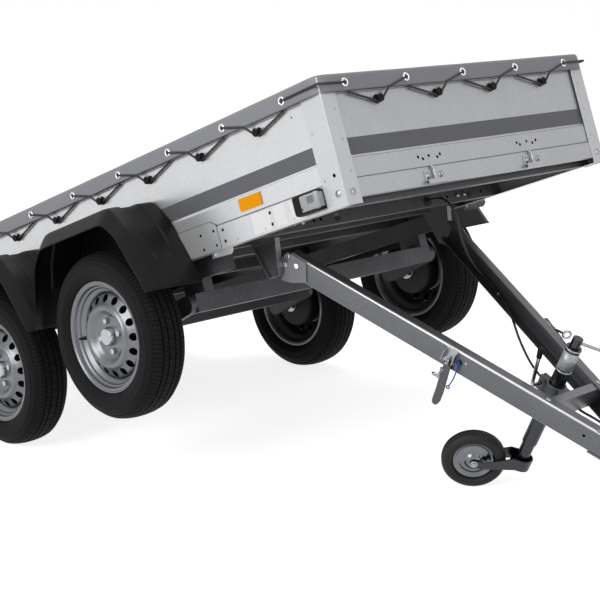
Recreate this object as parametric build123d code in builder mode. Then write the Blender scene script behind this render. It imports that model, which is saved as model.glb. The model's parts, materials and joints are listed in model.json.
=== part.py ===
"""Twin-axle tipping utility trailer with a flat cover, its bed tipped away from the drawbar.

The bed and the drawbar are each modelled level, with the tipping hinge's axis along Y through
the origin, X forwards, Y to the left and Z up. Both are then turned about that hinge, so that
the rear wheels and the jockey wheel stand on the floor.
"""

import os
from math import atan, cos, degrees, hypot, radians, sin

from build123d import *

os.makedirs("parts", exist_ok=True)

# Bed, with its tipping hinge
bed_length = 2650
bed_width = 1220
wall_height = 365
sheet = 2
wall_step = 6
wall_step_height = 134
wall_bend = 2
wall_bend_height = 70
wall_hem = 30
wall_foot = 40
hinge_to_front = 585
hinge_below_bed = 98
floor_height = 42
floor_thickness = 9
tip_angle = 45

# Corner posts and what is on the walls
post_side_width = 82
post_front_width = 57
front_panel_lift = 18
catch_spacing = 468
catch_width = 86
catch_height = 42
catch_lip = 14
reflector_length = 100
reflector_height = 38
reflector_back = 342
reflector_lift = 86
lamp_length = 104
lamp_height = 58
lamp_depth = 30
lamp_lens = 16
lamp_lift = 11
lamp_fillet = 8
lens_inset = 3
lens_gap = 1
lens_back = 5
lens_fillet = 6
gusset_length = 1500
gusset_height = 73
gusset_back = 576
gusset_lift = 2
gusset_corner = 14

# Frame under the floor
rail_height = 60
rail_width = 40
rail_inset = 90
rail_ahead = 180
rail_rear_inset = 120
member_flange = 36
member_hole_radius = 14
front_member_inset = 60
middle_members_back = [40, 330, 900, 1500]
cable_member = 135
cable_hole_y = 217
cable_radius = 4
grommet_rim = 4
grommet_lip = 3
grommet_length = 12
bracket_foot = 118
bracket_tip = 52
bracket_lean = 8
bracket_drop = 18
bracket_plate = 5
bracket_flange = 20
pin_radius = 8
pin_head = 5
pin_end = 2
bracket_gap = 1
pin_clearance = 0.3

# Tailgate
tailgate_gap = 6
tailgate_depth = 28
tailgate_lift = 14
tailgate_top_gap = 6
tailgate_pin_lift = 4
tailgate_pin_radius = 6
hinge_eye = 9
hinge_from_lamp = 68
hinge_foot_drop = 12
hinge_foot_inset = 20
hinge_cheek = 6
knuckle_half = 18
knuckle_gap = 1
rear_member_inset = 60
tail_lamp_width = 220
tail_lamp_height = 92
tail_lamp_depth = 44
tail_lamp_drop = 42
tail_lamp_fillet = 10

# Cover
cover_thickness = 4
cover_gap = 5
cover_skirt = 53
hook_radius = 10
hook_stem_radius = 6
hook_length = 16
hook_head = 3
hook_drop = 78
side_hook_count = 9
side_hook_first = 284
side_hook_last = 158
front_hook_count = 4
front_hook_end = 224.5

# Axles and wheels
front_axle_back = 453
axle_spacing = 695
wheel_below_hinge = 64
track_over_bed = 230
arm_length = 200
arm_rise = 32
arm_thickness = 24
beam_size = 60
beam_inset = 45
spindle_radius = 15
spindle_past_wheel = 18
collar_radius = 24
collar_length = 50
beam_bracket = 100
tyre_diameter = 547
tyre_width = 155
rim_radius = 165
rim_flange = 17
rim_half_width = 60
rim_sheet = 3
bead_gap = 0.5
flange_gap = 1
disc_offset = 30
disc_sheet = 4
vent_count = 16
vent_circle = 246
vent_diameter = 22
bolt_count = 4
bolt_circle = 100
bolt_radius = 6.5
bolt_head_radius = 9.75
bolt_head_height = 9

# Mudguards: a flat-topped arch over each wheel
guard_wall = 4
guard_overhang = 216
guard_lip = 41
guard_foot = 90

# Drawbar: two channels that meet at the coupling
leg_rear = 28
leg_front = 1235
leg_rear_half_width = 396
leg_front_half_width = 48
leg_height = 73
leg_flange = 38
leg_sheet = 4
leg_base = 13
plate_sheet = 5
web_gap = 0.2
cross_beam_station = 892
cross_beam_depth = 30
nose_length = 170
latch_station = 600
latch_width = 36
latch_height = 44
lever_thickness = 12
coupling_bore = 25.2
coupling_wall = 6
coupling_length = 210
coupling_width = 70
coupling_height = 56
coupling_roof = 22
coupling_fillet = 14
ball_ahead = 130

# Jockey wheel
jockey_station = 841
jockey_tube_radius = 24
jockey_tube_wall = 3
jockey_top = 202
jockey_cap_radius = 16
jockey_cap_height = 32
clamp_base = 18
clamp_height = 50
clamp_wall = 9
clamp_width = 40
clamp_slit = 5
ear_width = 26
handle_radius = 5
handle_out = 58
handle_rise = 78
grip_length = 46
crank_reach = 112
jockey_tube_end = -157
stem_radius = 20.5
stem_wall = 3
stem_end = -186
stem_top_gap = 60
fork_bottom = -252
fork_top = -214
fork_sheet = 4
fork_half_width = 34
fork_hub_radius = 13
spigot_length = 12
swivel_angle = 45
trail = 141
jockey_axle_height = -272
jockey_wheel_radius = 100
jockey_wheel_width = 50
jockey_edge = 15

# Sheet and channel sections
bed_front = hinge_to_front
bed_rear = hinge_to_front - bed_length
bed_base = hinge_below_bed
half_width = bed_width / 2
wall_top = bed_base + wall_height
rail_half_spacing = half_width - rail_inset
beam_half_length = half_width - beam_inset
guard_reach = half_width + guard_overhang
member_base = bed_base + sheet
rear_axle_back = front_axle_back + axle_spacing
tyre_radius = tyre_diameter / 2
half_track = (bed_width + track_over_bed) / 2
leg_slope = (leg_rear_half_width - leg_front_half_width) / (leg_front - leg_rear)
leg_angle = atan(leg_slope)
leg_top = leg_base + leg_height


def bent_sheet(points, thickness):
    """A folded strip: the points are its outer side, and its thickness lies to their left."""
    with BuildSketch() as strip:
        with BuildLine():
            Polyline(*points)
            offset(amount=thickness, side=Side.LEFT)
        make_face()
    return strip.sketch


def leg_half_width(station):
    """Half the width over the two legs' webs at a distance ahead of the hinge."""
    return leg_rear_half_width - leg_slope * (station - leg_rear)


# Rest position: the bed's tilt at which rear tyres and jockey tyre both reach the floor
def jockey_centre():
    """Jockey wheel's centre from the hinge, in the level drawbar's frame."""
    turn = radians(swivel_angle)
    return Vector(jockey_station - trail * cos(turn), -trail * sin(turn), jockey_axle_height)


def jockey_reach(slope):
    """How far the leaning jockey tyre reaches below its centre when the drawbar slopes down."""
    lean = abs(sin(radians(swivel_angle)) * sin(slope))
    upright = (1 - lean**2) ** 0.5
    return (
        (jockey_wheel_radius - jockey_edge) * upright
        + (jockey_wheel_width / 2 - jockey_edge) * lean
        + jockey_edge
    )


def rear_depth(tilt):
    """Depth of the rear tyres' lowest point under the hinge."""
    return rear_axle_back * sin(tilt) + wheel_below_hinge * cos(tilt) + tyre_radius


def jockey_depth(tilt):
    """Depth of the jockey tyre's lowest point under the hinge."""
    slope = radians(tip_angle) - tilt
    centre = jockey_centre()
    return centre.X * sin(slope) - centre.Z * cos(slope) + jockey_reach(slope)


tilt_low = 0.0
tilt_high = radians(tip_angle)
for halving in range(60):
    tilt = (tilt_low + tilt_high) / 2
    if rear_depth(tilt) < jockey_depth(tilt):
        tilt_low = tilt
    else:
        tilt_high = tilt

bed_tilt = degrees(tilt)
drawbar_slope = tip_angle - bed_tilt
hinge_height = rear_depth(tilt)
bed_pose = Location((0, 0, hinge_height), (0, -bed_tilt, 0))
drawbar_pose = Location((0, 0, hinge_height), (0, drawbar_slope, 0))

# Finished pieces: node name, part in its level frame, place at rest
pieces = []

# Floor board
with BuildPart() as floor_board:
    with Locations(((bed_front + bed_rear) / 2, 0, bed_base + floor_height)):
        Box(
            bed_length - 2 * (sheet + wall_hem + 1),
            bed_width - 2 * (sheet + wall_step + 1),
            floor_thickness,
            align=(Align.CENTER, Align.CENTER, Align.MIN),
        )
pieces.append(("floor_board", floor_board.part, bed_pose))

# Side walls: one sheet each, with a foot, a step under the stripe and a hem along the top
wall_outline = [
    (half_width - wall_foot, bed_base),
    (half_width, bed_base),
    (half_width, bed_base + wall_bend_height),
    (half_width - wall_bend, bed_base + wall_bend_height + wall_bend),
    (half_width - wall_bend, bed_base + wall_step_height - wall_step),
    (half_width - wall_step, bed_base + wall_step_height),
    (half_width - wall_step, wall_top),
    (half_width - wall_step - wall_hem, wall_top),
    (half_width - wall_step - wall_hem, wall_top - wall_hem),
]
with BuildPart() as side_wall_left:
    with BuildSketch(Plane.YZ.offset(bed_rear)):
        add(bent_sheet(wall_outline, sheet))
    extrude(amount=bed_length)
with BuildPart() as side_wall_right:
    add(side_wall_left.part)
    mirror(about=Plane.XZ, mode=Mode.REPLACE)
pieces.append(("side_wall_left", side_wall_left.part, bed_pose))
pieces.append(("side_wall_right", side_wall_right.part, bed_pose))

# Front wall between the side walls
end_half_width = half_width - wall_step - wall_hem - sheet
front_outline = [
    (bed_front - wall_hem, bed_base + front_panel_lift),
    (bed_front, bed_base + front_panel_lift),
    (bed_front, bed_base + wall_bend_height),
    (bed_front - wall_bend, bed_base + wall_bend_height + wall_bend),
    (bed_front - wall_bend, bed_base + wall_step_height - wall_step),
    (bed_front - wall_step, bed_base + wall_step_height),
    (bed_front - wall_step, wall_top),
    (bed_front - wall_hem, wall_top),
    (bed_front - wall_hem, wall_top - wall_hem),
]
with BuildPart() as front_wall:
    with BuildSketch(Plane.XZ.offset(-end_half_width)):
        add(bent_sheet(front_outline, sheet))
    extrude(amount=2 * end_half_width)
pieces.append(("front_wall", front_wall.part, bed_pose))

# Corner posts: angles that wrap the four corners
with BuildPart() as corner_posts:
    for corner_x, facing in ((bed_front, 1), (bed_rear, -1)):
        with BuildSketch(Plane.XY.offset(bed_base - sheet)):
            with BuildLine():
                Polyline(
                    (corner_x - facing * post_side_width, half_width),
                    (corner_x, half_width),
                    (corner_x, half_width - post_front_width),
                    (corner_x + facing * sheet, half_width - post_front_width),
                    (corner_x + facing * sheet, half_width + sheet),
                    (corner_x - facing * post_side_width, half_width + sheet),
                    close=True,
                )
            make_face()
        extrude(amount=wall_height)
    mirror(about=Plane.XZ)
pieces.append(("corner_posts", corner_posts.part, bed_pose))

# Cross members under the floor: channels, open to the rear
middle_stations = [-back for back in middle_members_back]
end_stations = [bed_front - front_member_inset, cable_member, bed_rear + rear_member_inset]
member_stations = end_stations[:2] + middle_stations + end_stations[2:]
member_middle = (member_base + bed_base + floor_height) / 2
with BuildPart() as cross_members:
    for station in member_stations:
        with BuildSketch(Plane.XZ.offset(-(half_width - sheet))):
            member_outline = [
                (station - member_flange, member_base),
                (station, member_base),
                (station, bed_base + floor_height),
                (station - member_flange, bed_base + floor_height),
            ]
            add(bent_sheet(member_outline, sheet))
        extrude(amount=2 * (half_width - sheet))
    with BuildSketch(Plane.YZ.offset(cable_member)):
        for hole_y in (cable_hole_y, 2 * cable_hole_y):
            with Locations((hole_y, member_middle), (-hole_y, member_middle)):
                Circle(member_hole_radius)
    extrude(amount=-2 * sheet, mode=Mode.SUBTRACT)
pieces.append(("cross_members", cross_members.part, bed_pose))

# Grommet where the light cable leaves the bed
with BuildPart() as cable_grommet:
    with BuildSketch(Plane.YZ.offset(cable_member)):
        with Locations((cable_hole_y, member_middle)):
            Circle(member_hole_radius + grommet_lip)
    extrude(amount=grommet_rim)
    with BuildSketch(Plane.YZ.offset(cable_member + grommet_rim)):
        with Locations((cable_hole_y, member_middle)):
            Circle(2 * cable_radius)
    extrude(amount=grommet_length - grommet_rim)
pieces.append(("cable_grommet", cable_grommet.part, bed_pose))

# Rails that carry the axles
with BuildPart() as axle_rails:
    rail_front = -front_axle_back + arm_length + rail_ahead
    rail_rear = bed_rear + rail_rear_inset
    with Locations(
        ((rail_front + rail_rear) / 2, rail_half_spacing, member_base),
        ((rail_front + rail_rear) / 2, -rail_half_spacing, member_base),
    ):
        Box(
            rail_front - rail_rear,
            rail_width,
            rail_height,
            align=(Align.CENTER, Align.CENTER, Align.MAX),
        )
pieces.append(("axle_rails", axle_rails.part, bed_pose))

# Hinge brackets: tapered channels under the bed, outside the drawbar's lugs, each with its pin
lug_outer = leg_rear_half_width + web_gap + plate_sheet
bracket_inner = lug_outer + bracket_gap
bracket_side = [
    (-bracket_foot / 2 - bracket_lean, member_base),
    (bracket_foot / 2 - bracket_lean, member_base),
    (bracket_tip / 2, -bracket_drop),
    (-bracket_tip / 2, -bracket_drop),
]
with BuildPart() as hinge_brackets:
    with BuildSketch(Plane.XZ.offset(-bracket_inner)):
        with BuildLine():
            Polyline(*bracket_side, close=True)
        make_face()
    extrude(amount=-bracket_flange)
    with BuildSketch(Plane.XZ.offset(-bracket_inner - bracket_plate)):
        with BuildLine():
            Polyline(*bracket_side, close=True)
            offset(amount=-bracket_plate)
        make_face()
    extrude(amount=-bracket_flange, mode=Mode.SUBTRACT)
    with BuildSketch(Plane.XZ.offset(-(bracket_inner + bracket_plate + pin_head))):
        Circle(pin_radius)
    extrude(amount=bracket_plate + 2 * pin_head + plate_sheet + pin_end)
    mirror(about=Plane.XZ)
pieces.append(("hinge_brackets", hinge_brackets.part, bed_pose))

# Catch plates with hooks on the front wall
with BuildPart() as catch_hooks:
    with BuildSketch(Plane.XZ.offset(-(catch_spacing / 2 + catch_width / 2))):
        catch_outline = [
            (bed_front, bed_base + front_panel_lift + catch_height),
            (bed_front, bed_base + front_panel_lift),
            (bed_front + catch_lip, bed_base + front_panel_lift),
            (bed_front + catch_lip, bed_base + front_panel_lift + catch_lip),
        ]
        add(bent_sheet(catch_outline, sheet))
    extrude(amount=catch_width)
    mirror(about=Plane.XZ)
pieces.append(("catch_hooks", catch_hooks.part, bed_pose))

# Gusset plates along the walls' feet, which the mudguards bolt to
with BuildPart() as gusset_plates:
    with BuildSketch(Plane.XZ.offset(-(half_width + sheet))):
        with BuildLine():
            Polyline(
                (bed_front - gusset_back, bed_base + gusset_lift),
                (bed_front - gusset_back, bed_base + gusset_height - gusset_corner),
                (bed_front - gusset_back - gusset_corner, bed_base + gusset_height),
                (bed_front - gusset_back - gusset_length, bed_base + gusset_height),
                (bed_front - gusset_back - gusset_length, bed_base + gusset_lift),
                close=True,
            )
        make_face()
    extrude(amount=sheet)
    mirror(about=Plane.XZ)
pieces.append(("gusset_plates", gusset_plates.part, bed_pose))

# Side reflectors, front position lamps with their lenses, and tail lamps
with BuildPart() as side_reflectors:
    with Locations((bed_front - reflector_back, half_width - wall_bend, bed_base + reflector_lift)):
        Box(
            reflector_length,
            sheet * 2,
            reflector_height,
            align=(Align.MAX, Align.MIN, Align.MIN),
        )
    mirror(about=Plane.XZ)
pieces.append(("side_reflectors", side_reflectors.part, bed_pose))

lamp_front = bed_front - post_side_width
with BuildPart() as position_lamps:
    with Locations((lamp_front - lamp_lens, half_width, bed_base + lamp_lift)):
        Box(
            lamp_length - lamp_lens,
            lamp_depth,
            lamp_height,
            align=(Align.MAX, Align.MIN, Align.MIN),
        )
    fillet(position_lamps.edges().filter_by(Axis.X).group_by(Axis.Y)[-1], lamp_fillet)
    mirror(about=Plane.XZ)
pieces.append(("position_lamps", position_lamps.part, bed_pose))

with BuildPart() as lamp_lenses:
    with Locations((lamp_front - lamp_lens, half_width + sheet + lens_gap, bed_base + lamp_lift + lens_inset)):
        Box(
            lamp_lens,
            lamp_depth - sheet - lens_back,
            lamp_height - 2 * lens_inset,
            align=(Align.MIN, Align.MIN, Align.MIN),
        )
    fillet(lamp_lenses.edges().filter_by(Axis.X).group_by(Axis.Y)[-1], lens_fillet)
    mirror(about=Plane.XZ)
pieces.append(("lamp_lenses", lamp_lenses.part, bed_pose))

tail_lamp_y = half_width - tail_lamp_width / 2 - wall_foot - sheet
tail_lamp_top = bed_base - tail_lamp_drop
with BuildPart() as lamp_brackets:
    bracket_line = [
        (bed_rear + rear_member_inset, member_base),
        (bed_rear, member_base),
        (bed_rear, tail_lamp_top - tail_lamp_height),
    ]
    with BuildSketch(Plane.XZ.offset(-(tail_lamp_y + tail_lamp_width / 2))):
        add(bent_sheet(bracket_line, sheet))
    extrude(amount=tail_lamp_width)
    mirror(about=Plane.XZ)
pieces.append(("lamp_brackets", lamp_brackets.part, bed_pose))

with BuildPart() as tail_lamps:
    with Locations((bed_rear, tail_lamp_y, tail_lamp_top)):
        Box(
            tail_lamp_depth,
            tail_lamp_width,
            tail_lamp_height,
            align=(Align.MAX, Align.CENTER, Align.MAX),
        )
    fillet(tail_lamps.edges().group_by(Axis.X)[0], tail_lamp_fillet)
    mirror(about=Plane.XZ)
pieces.append(("tail_lamps", tail_lamps.part, bed_pose))

# Cover with its skirts along the sides and front, and the flap over the tailgate
cover_half = half_width + sheet + cover_gap + cover_thickness
cover_front = bed_front + sheet + cover_gap + cover_thickness
tailgate_front = bed_rear - sheet - tailgate_gap
cover_rear = tailgate_front - tailgate_depth - cover_gap - cover_thickness
skirt_bottom = wall_top + cover_thickness - cover_skirt
with BuildPart() as cover:
    with BuildSketch(Plane.XY.offset(wall_top)):
        with Locations(((cover_front + cover_rear) / 2, 0)):
            Rectangle(cover_front - cover_rear, 2 * cover_half)
    extrude(amount=cover_thickness)
    with BuildSketch(Plane.XY.offset(skirt_bottom)):
        with BuildLine():
            Polyline(
                (cover_rear + cover_thickness, cover_half),
                (cover_front, cover_half),
                (cover_front, -cover_half),
                (cover_rear + cover_thickness, -cover_half),
            )
            offset(amount=cover_thickness, side=Side.RIGHT)
        make_face()
    extrude(amount=cover_skirt - cover_thickness)
pieces.append(("cover", cover.part, bed_pose))

with BuildPart() as cover_flap:
    with Locations((cover_rear, 0, skirt_bottom)):
        Box(
            cover_thickness,
            2 * cover_half,
            cover_skirt - cover_thickness,
            align=(Align.MIN, Align.CENTER, Align.MIN),
        )
pieces.append(("cover_flap", cover_flap.part, bed_pose))

# Cover hooks: mushroom buttons along the sides and the front
hook_height = wall_top - hook_drop
side_hook_spacing = (bed_length - side_hook_first - side_hook_last) / (side_hook_count - 1)
side_hooks = [bed_front - side_hook_first - i * side_hook_spacing for i in range(side_hook_count)]
front_hook_spacing = (bed_width - 2 * front_hook_end) / (front_hook_count - 1)
front_hooks = [(i - (front_hook_count - 1) / 2) * front_hook_spacing for i in range(front_hook_count)]
hook_seat = half_width - wall_step
with BuildPart() as cover_hooks:
    for x in side_hooks:
        for side in (1, -1):
            seat = Plane(origin=(x, side * hook_seat, hook_height), z_dir=(0, side, 0))
            with Locations(seat):
                Cylinder(hook_stem_radius, hook_length, align=(Align.CENTER, Align.CENTER, Align.MIN))
            with Locations(seat.offset(hook_length)):
                Cylinder(hook_radius, hook_head, align=(Align.CENTER, Align.CENTER, Align.MIN))
    for y in front_hooks:
        seat = Plane(origin=(bed_front - wall_step, y, hook_height), z_dir=(1, 0, 0))
        with Locations(seat):
            Cylinder(hook_stem_radius, hook_length, align=(Align.CENTER, Align.CENTER, Align.MIN))
        with Locations(seat.offset(hook_length)):
            Cylinder(hook_radius, hook_head, align=(Align.CENTER, Align.CENTER, Align.MIN))
pieces.append(("cover_hooks", cover_hooks.part, bed_pose))

# Tailgate: a folded sheet that drops about a rod along its foot
tailgate_pin_x = tailgate_front - tailgate_depth / 2
tailgate_pin_z = bed_base + tailgate_pin_lift
tailgate_base = bed_base + tailgate_lift
tailgate_top = wall_top - tailgate_top_gap
outer_hinge_y = half_width - wall_foot - sheet - tail_lamp_width - hinge_from_lamp
tailgate_hinge_ys = [-outer_hinge_y, 0, outer_hinge_y]
with BuildPart() as tailgate_hinges:
    for y in tailgate_hinge_ys:
        for cheek_y in (y + knuckle_half + knuckle_gap + hinge_cheek, y - knuckle_half - knuckle_gap):
            with BuildSketch(Plane.XZ.offset(-cheek_y)):
                with BuildLine():
                    Polyline(
                        (tailgate_pin_x, tailgate_pin_z - hinge_eye),
                        (bed_rear + rear_member_inset, member_base - hinge_foot_drop),
                        (bed_rear + rear_member_inset, member_base),
                        (bed_rear + hinge_foot_inset, member_base),
                        (tailgate_pin_x, tailgate_pin_z + hinge_eye),
                        close=True,
                    )
                make_face()
                with Locations((tailgate_pin_x, tailgate_pin_z)):
                    Circle(hinge_eye)
            extrude(amount=hinge_cheek)
        with BuildSketch(Plane.XZ.offset(-y - knuckle_half - knuckle_gap)):
            with Locations((tailgate_pin_x, tailgate_pin_z)):
                Circle(tailgate_pin_radius)
        extrude(amount=2 * (knuckle_half + knuckle_gap))
pieces.append(("tailgate_hinges", tailgate_hinges.part, bed_pose))

with BuildPart() as tailgate_panel:
    tailgate_outline = [
        (tailgate_front, tailgate_top - wall_hem),
        (tailgate_front, tailgate_top),
        (tailgate_front - tailgate_depth + wall_step, tailgate_top),
        (tailgate_front - tailgate_depth + wall_step, bed_base + wall_step_height),
        (tailgate_front - tailgate_depth, bed_base + wall_step_height - wall_step),
        (tailgate_front - tailgate_depth, tailgate_base),
        (tailgate_front, tailgate_base),
    ]
    with BuildSketch(Plane.XZ.offset(-half_width)):
        add(bent_sheet(tailgate_outline, sheet))
    extrude(amount=2 * half_width)
    for y in tailgate_hinge_ys:
        with BuildSketch(Plane.XZ.offset(-y - knuckle_half)):
            with Locations((tailgate_pin_x, tailgate_pin_z)):
                Circle(hinge_eye)
                Rectangle(2 * hinge_eye, tailgate_base - tailgate_pin_z, align=(Align.CENTER, Align.MIN))
                Circle(tailgate_pin_radius + pin_clearance, mode=Mode.SUBTRACT)
        extrude(amount=2 * knuckle_half)
pieces.append(("tailgate_panel", tailgate_panel.part, bed_pose))

# Axles: a square beam with trailing arms, spindles and the brackets to the rails
axle_stations = {"front": -front_axle_back, "rear": -rear_axle_back}
arm_out = beam_half_length + arm_thickness
beam_top = arm_rise + beam_size / 2
rail_base = member_base - rail_height + wheel_below_hinge
with BuildPart() as axle:
    with Locations((arm_length, 0, arm_rise)):
        Box(beam_size, 2 * beam_half_length, beam_size)
    for side in (1, -1):
        arm_plane = Plane(origin=(0, side * beam_half_length, 0), x_dir=(1, 0, 0), z_dir=(0, side, 0))
        with BuildSketch(arm_plane):
            make_hull(
                [
                    Pos(0, 0) * Edge.make_circle(30),
                    Pos(arm_length, -side * arm_rise) * Edge.make_circle(beam_size / 2),
                ]
            )
        extrude(amount=arm_thickness)
        with Locations(Plane(origin=(0, side * arm_out, 0), z_dir=(0, side, 0))):
            Cylinder(collar_radius, collar_length, align=(Align.CENTER, Align.CENTER, Align.MIN))
            Cylinder(
                spindle_radius,
                half_track + spindle_past_wheel - arm_out,
                align=(Align.CENTER, Align.CENTER, Align.MIN),
            )
        with Locations((arm_length, side * rail_half_spacing, beam_top)):
            Box(beam_bracket, rail_width, rail_base - beam_top, align=(Align.CENTER, Align.CENTER, Align.MIN))
for end, station in axle_stations.items():
    axle_pose = bed_pose * Location((station, 0, -wheel_below_hinge))
    pieces.append((f"axle_{end}", axle.part, axle_pose))

# Tyre, rim and hub, about Z with their outer side up
with BuildPart() as tyre:
    with BuildSketch(Plane.XZ):
        with BuildLine():
            bead = rim_radius + bead_gap
            seat_half = rim_half_width - flange_gap
            clear = rim_radius + rim_flange + 2 * flange_gap
            side_half = tyre_width / 2
            shoulder = (tyre_radius - 24, side_half - 9)
            crown_edge = (tyre_radius - 4, side_half - 36)
            Polyline((clear, seat_half), (bead, seat_half), (bead, -seat_half), (clear, -seat_half))
            for out in (-1, 1):
                ThreePointArc(
                    (clear, out * seat_half),
                    ((clear + tyre_radius) / 2 - 10, out * side_half),
                    (shoulder[0], out * shoulder[1]),
                )
                ThreePointArc(
                    (shoulder[0], out * shoulder[1]),
                    (tyre_radius - 10.5, out * (side_half - 20)),
                    (crown_edge[0], out * crown_edge[1]),
                )
            ThreePointArc((crown_edge[0], -crown_edge[1]), (tyre_radius, 0), crown_edge)
        make_face()
    revolve(axis=Axis.Z)

rim_drop = 23
barrel = [
    (rim_radius + rim_flange, -rim_half_width),
    (rim_radius, -rim_half_width),
    (rim_radius - 2, -rim_half_width / 2),
    (rim_radius - rim_drop, -rim_half_width / 3),
    (rim_radius - rim_drop, rim_half_width / 3),
    (rim_radius - 2, rim_half_width / 2),
    (rim_radius, rim_half_width),
    (rim_radius + rim_flange, rim_half_width),
]
hub_hole = 32
# The disc's crown as (radius, rise over the face that the hub bolts to)
disc_crown = [(66, 0), (72, 3), (79, 11), (86, 16), (93, 17), (100, 14), (106, 9)]
disc_fall = 14
disc_edge = rim_radius - rim_drop - rim_sheet
disc = [(hub_hole, disc_offset)]
disc += [(radius, disc_offset + rise) for radius, rise in disc_crown]
disc += [(disc_edge, disc_offset - disc_fall), (disc_edge, 0)]
with BuildPart() as rim:
    with BuildSketch(Plane.XZ):
        add(bent_sheet(barrel, rim_sheet))
        add(bent_sheet(disc, disc_sheet))
    revolve(axis=Axis.Z)
    with BuildSketch(Plane.XY):
        with PolarLocations(vent_circle / 2, vent_count):
            Circle(vent_diameter / 2)
    extrude(amount=rim_half_width, mode=Mode.SUBTRACT)
    with BuildSketch(Plane.XY):
        with PolarLocations(bolt_circle / 2, bolt_count):
            Circle(bolt_radius + pin_clearance)
    extrude(amount=rim_half_width, mode=Mode.SUBTRACT)

hub_inner = -68
hub_barrel_radius = 34
hub_flange_radius = 66
hub_flange = 10
hub_bore_depth = 20
# The dust cap as (radius, rise over the face that the rim seats on)
dust_cap = [(hub_hole - 1, 0), (hub_hole - 1, 14), (26, 24), (0, 26)]
with BuildPart() as hub:
    with BuildSketch(Plane.XZ):
        with BuildLine():
            Polyline(
                (spindle_radius + pin_clearance, hub_inner),
                (hub_barrel_radius, hub_inner),
                (hub_barrel_radius, disc_offset - hub_flange),
                (hub_flange_radius, disc_offset - hub_flange),
                (hub_flange_radius, disc_offset),
                *[(radius, disc_offset + rise) for radius, rise in dust_cap],
                (0, hub_bore_depth),
                (spindle_radius + pin_clearance, hub_bore_depth),
                close=True,
            )
        make_face()
    revolve(axis=Axis.Z)
    with BuildSketch(Plane.XY.offset(disc_offset)):
        with PolarLocations(bolt_circle / 2, bolt_count):
            Circle(bolt_radius)
    extrude(amount=disc_sheet)
    with BuildSketch(Plane.XY.offset(disc_offset + disc_sheet)):
        with PolarLocations(bolt_circle / 2, bolt_count):
            RegularPolygon(bolt_head_radius, 6)
    extrude(amount=bolt_head_height)

for end, station in axle_stations.items():
    for side, side_name in ((1, "left"), (-1, "right")):
        wheel_pose = bed_pose * Location((station, side * half_track, -wheel_below_hinge), (-side * 90, 0, 0))
        for kind, wheel_piece in (("tyre", tyre), ("rim", rim), ("hub", hub)):
            pieces.append((f"{kind}_{end}_{side_name}", wheel_piece.part, wheel_pose))

# Mudguards: half outlines as (half length, height over the wheel's centre)
guard_outer = [(345, guard_foot), (262, 297), (195, 384)]
guard_mouth = [(324, guard_foot), (238, 283), (183, 335)]


def arch(half_points, inset):
    """A flat-topped arch outline, drawn in by the wall where it is the inner side."""
    rise = [(x - inset, z - (inset if z > guard_foot else guard_wall * (inset > 0))) for x, z in half_points]
    return rise + [(-x, z) for x, z in reversed(rise)]


def arch_face(points):
    """The face inside an arch outline."""
    with BuildSketch() as face:
        with BuildLine():
            Polyline(*points, close=True)
        make_face()
    return face.sketch


guard_start = half_width + sheet
with BuildPart() as mudguard:
    for reach, outline in (
        (guard_start, guard_outer),
        (guard_reach - guard_lip, guard_outer),
        (guard_reach, guard_mouth),
    ):
        with BuildSketch(Plane.XZ.offset(-reach)):
            add(arch_face(arch(outline, 0)))
    loft(ruled=True)
    for reach, outline in (
        (guard_start - guard_wall, guard_outer),
        (guard_reach - guard_lip - guard_wall / 2, guard_outer),
        (guard_reach + 0.01, guard_mouth),
    ):
        with BuildSketch(Plane.XZ.offset(-reach)):
            add(arch_face(arch(outline, guard_wall)))
    loft(ruled=True, mode=Mode.SUBTRACT)
    with BuildSketch(Plane.XZ.offset(-guard_start - guard_wall)):
        add(arch_face(arch(guard_outer, 0)))
    extrude(amount=guard_wall)
with BuildPart() as mudguard_mirrored:
    add(mudguard.part)
    mirror(about=Plane.XZ, mode=Mode.REPLACE)
for end, station in axle_stations.items():
    guard_pose = bed_pose * Location((station, 0, -wheel_below_hinge))
    pieces.append((f"mudguard_{end}_left", mudguard.part, guard_pose))
    pieces.append((f"mudguard_{end}_right", mudguard_mirrored.part, guard_pose))

# Drawbar legs: channels with the web outside
leg_length = hypot(leg_front - leg_rear, leg_rear_half_width - leg_front_half_width)
with BuildPart() as leg_right:
    leg_plane = Plane(
        origin=(leg_rear, -leg_rear_half_width, leg_base),
        x_dir=(-sin(leg_angle), cos(leg_angle), 0),
        z_dir=(cos(leg_angle), sin(leg_angle), 0),
    )
    with BuildSketch(leg_plane):
        add(
            bent_sheet(
                [(leg_flange, leg_height), (0, leg_height), (0, 0), (leg_flange, 0)],
                leg_sheet,
            )
        )
    extrude(amount=leg_length)
with BuildPart() as leg_left:
    add(leg_right.part)
    mirror(about=Plane.XZ, mode=Mode.REPLACE)
pieces.append(("leg_right", leg_right.part, drawbar_pose))
pieces.append(("leg_left", leg_left.part, drawbar_pose))

# Hinge plates: bent plates bolted outside the webs, each with a lug round its pin
lug_radius = 24
lug_back = 4
plate_end = 108
# The plate's outline ahead of the lug as (distance ahead of the pin, height)
plate_outline = [(62, -6), (plate_end, 22), (plate_end - 22, leg_top - 2), (16, leg_top - 2)]
with BuildPart() as hinge_plates:
    plan = [
        (plate_end, -leg_half_width(plate_end) - web_gap),
        (leg_rear, -leg_rear_half_width - web_gap),
        (-lug_radius - lug_back, -leg_rear_half_width - web_gap),
    ]
    with BuildSketch(Plane.XY.offset(-lug_radius)):
        add(bent_sheet(plan, plate_sheet))
    extrude(amount=lug_radius + leg_top)
    with BuildSketch(Plane.XZ.offset(2 * leg_rear_half_width)):
        with BuildLine():
            Polyline(
                (0, -lug_radius),
                *plate_outline,
                (-lug_radius, lug_radius / 4),
                close=True,
            )
        make_face()
        Circle(lug_radius)
        Circle(pin_radius + pin_clearance, mode=Mode.SUBTRACT)
    extrude(amount=-2 * leg_rear_half_width, mode=Mode.INTERSECT)
    mirror(about=Plane.XZ)
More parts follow.
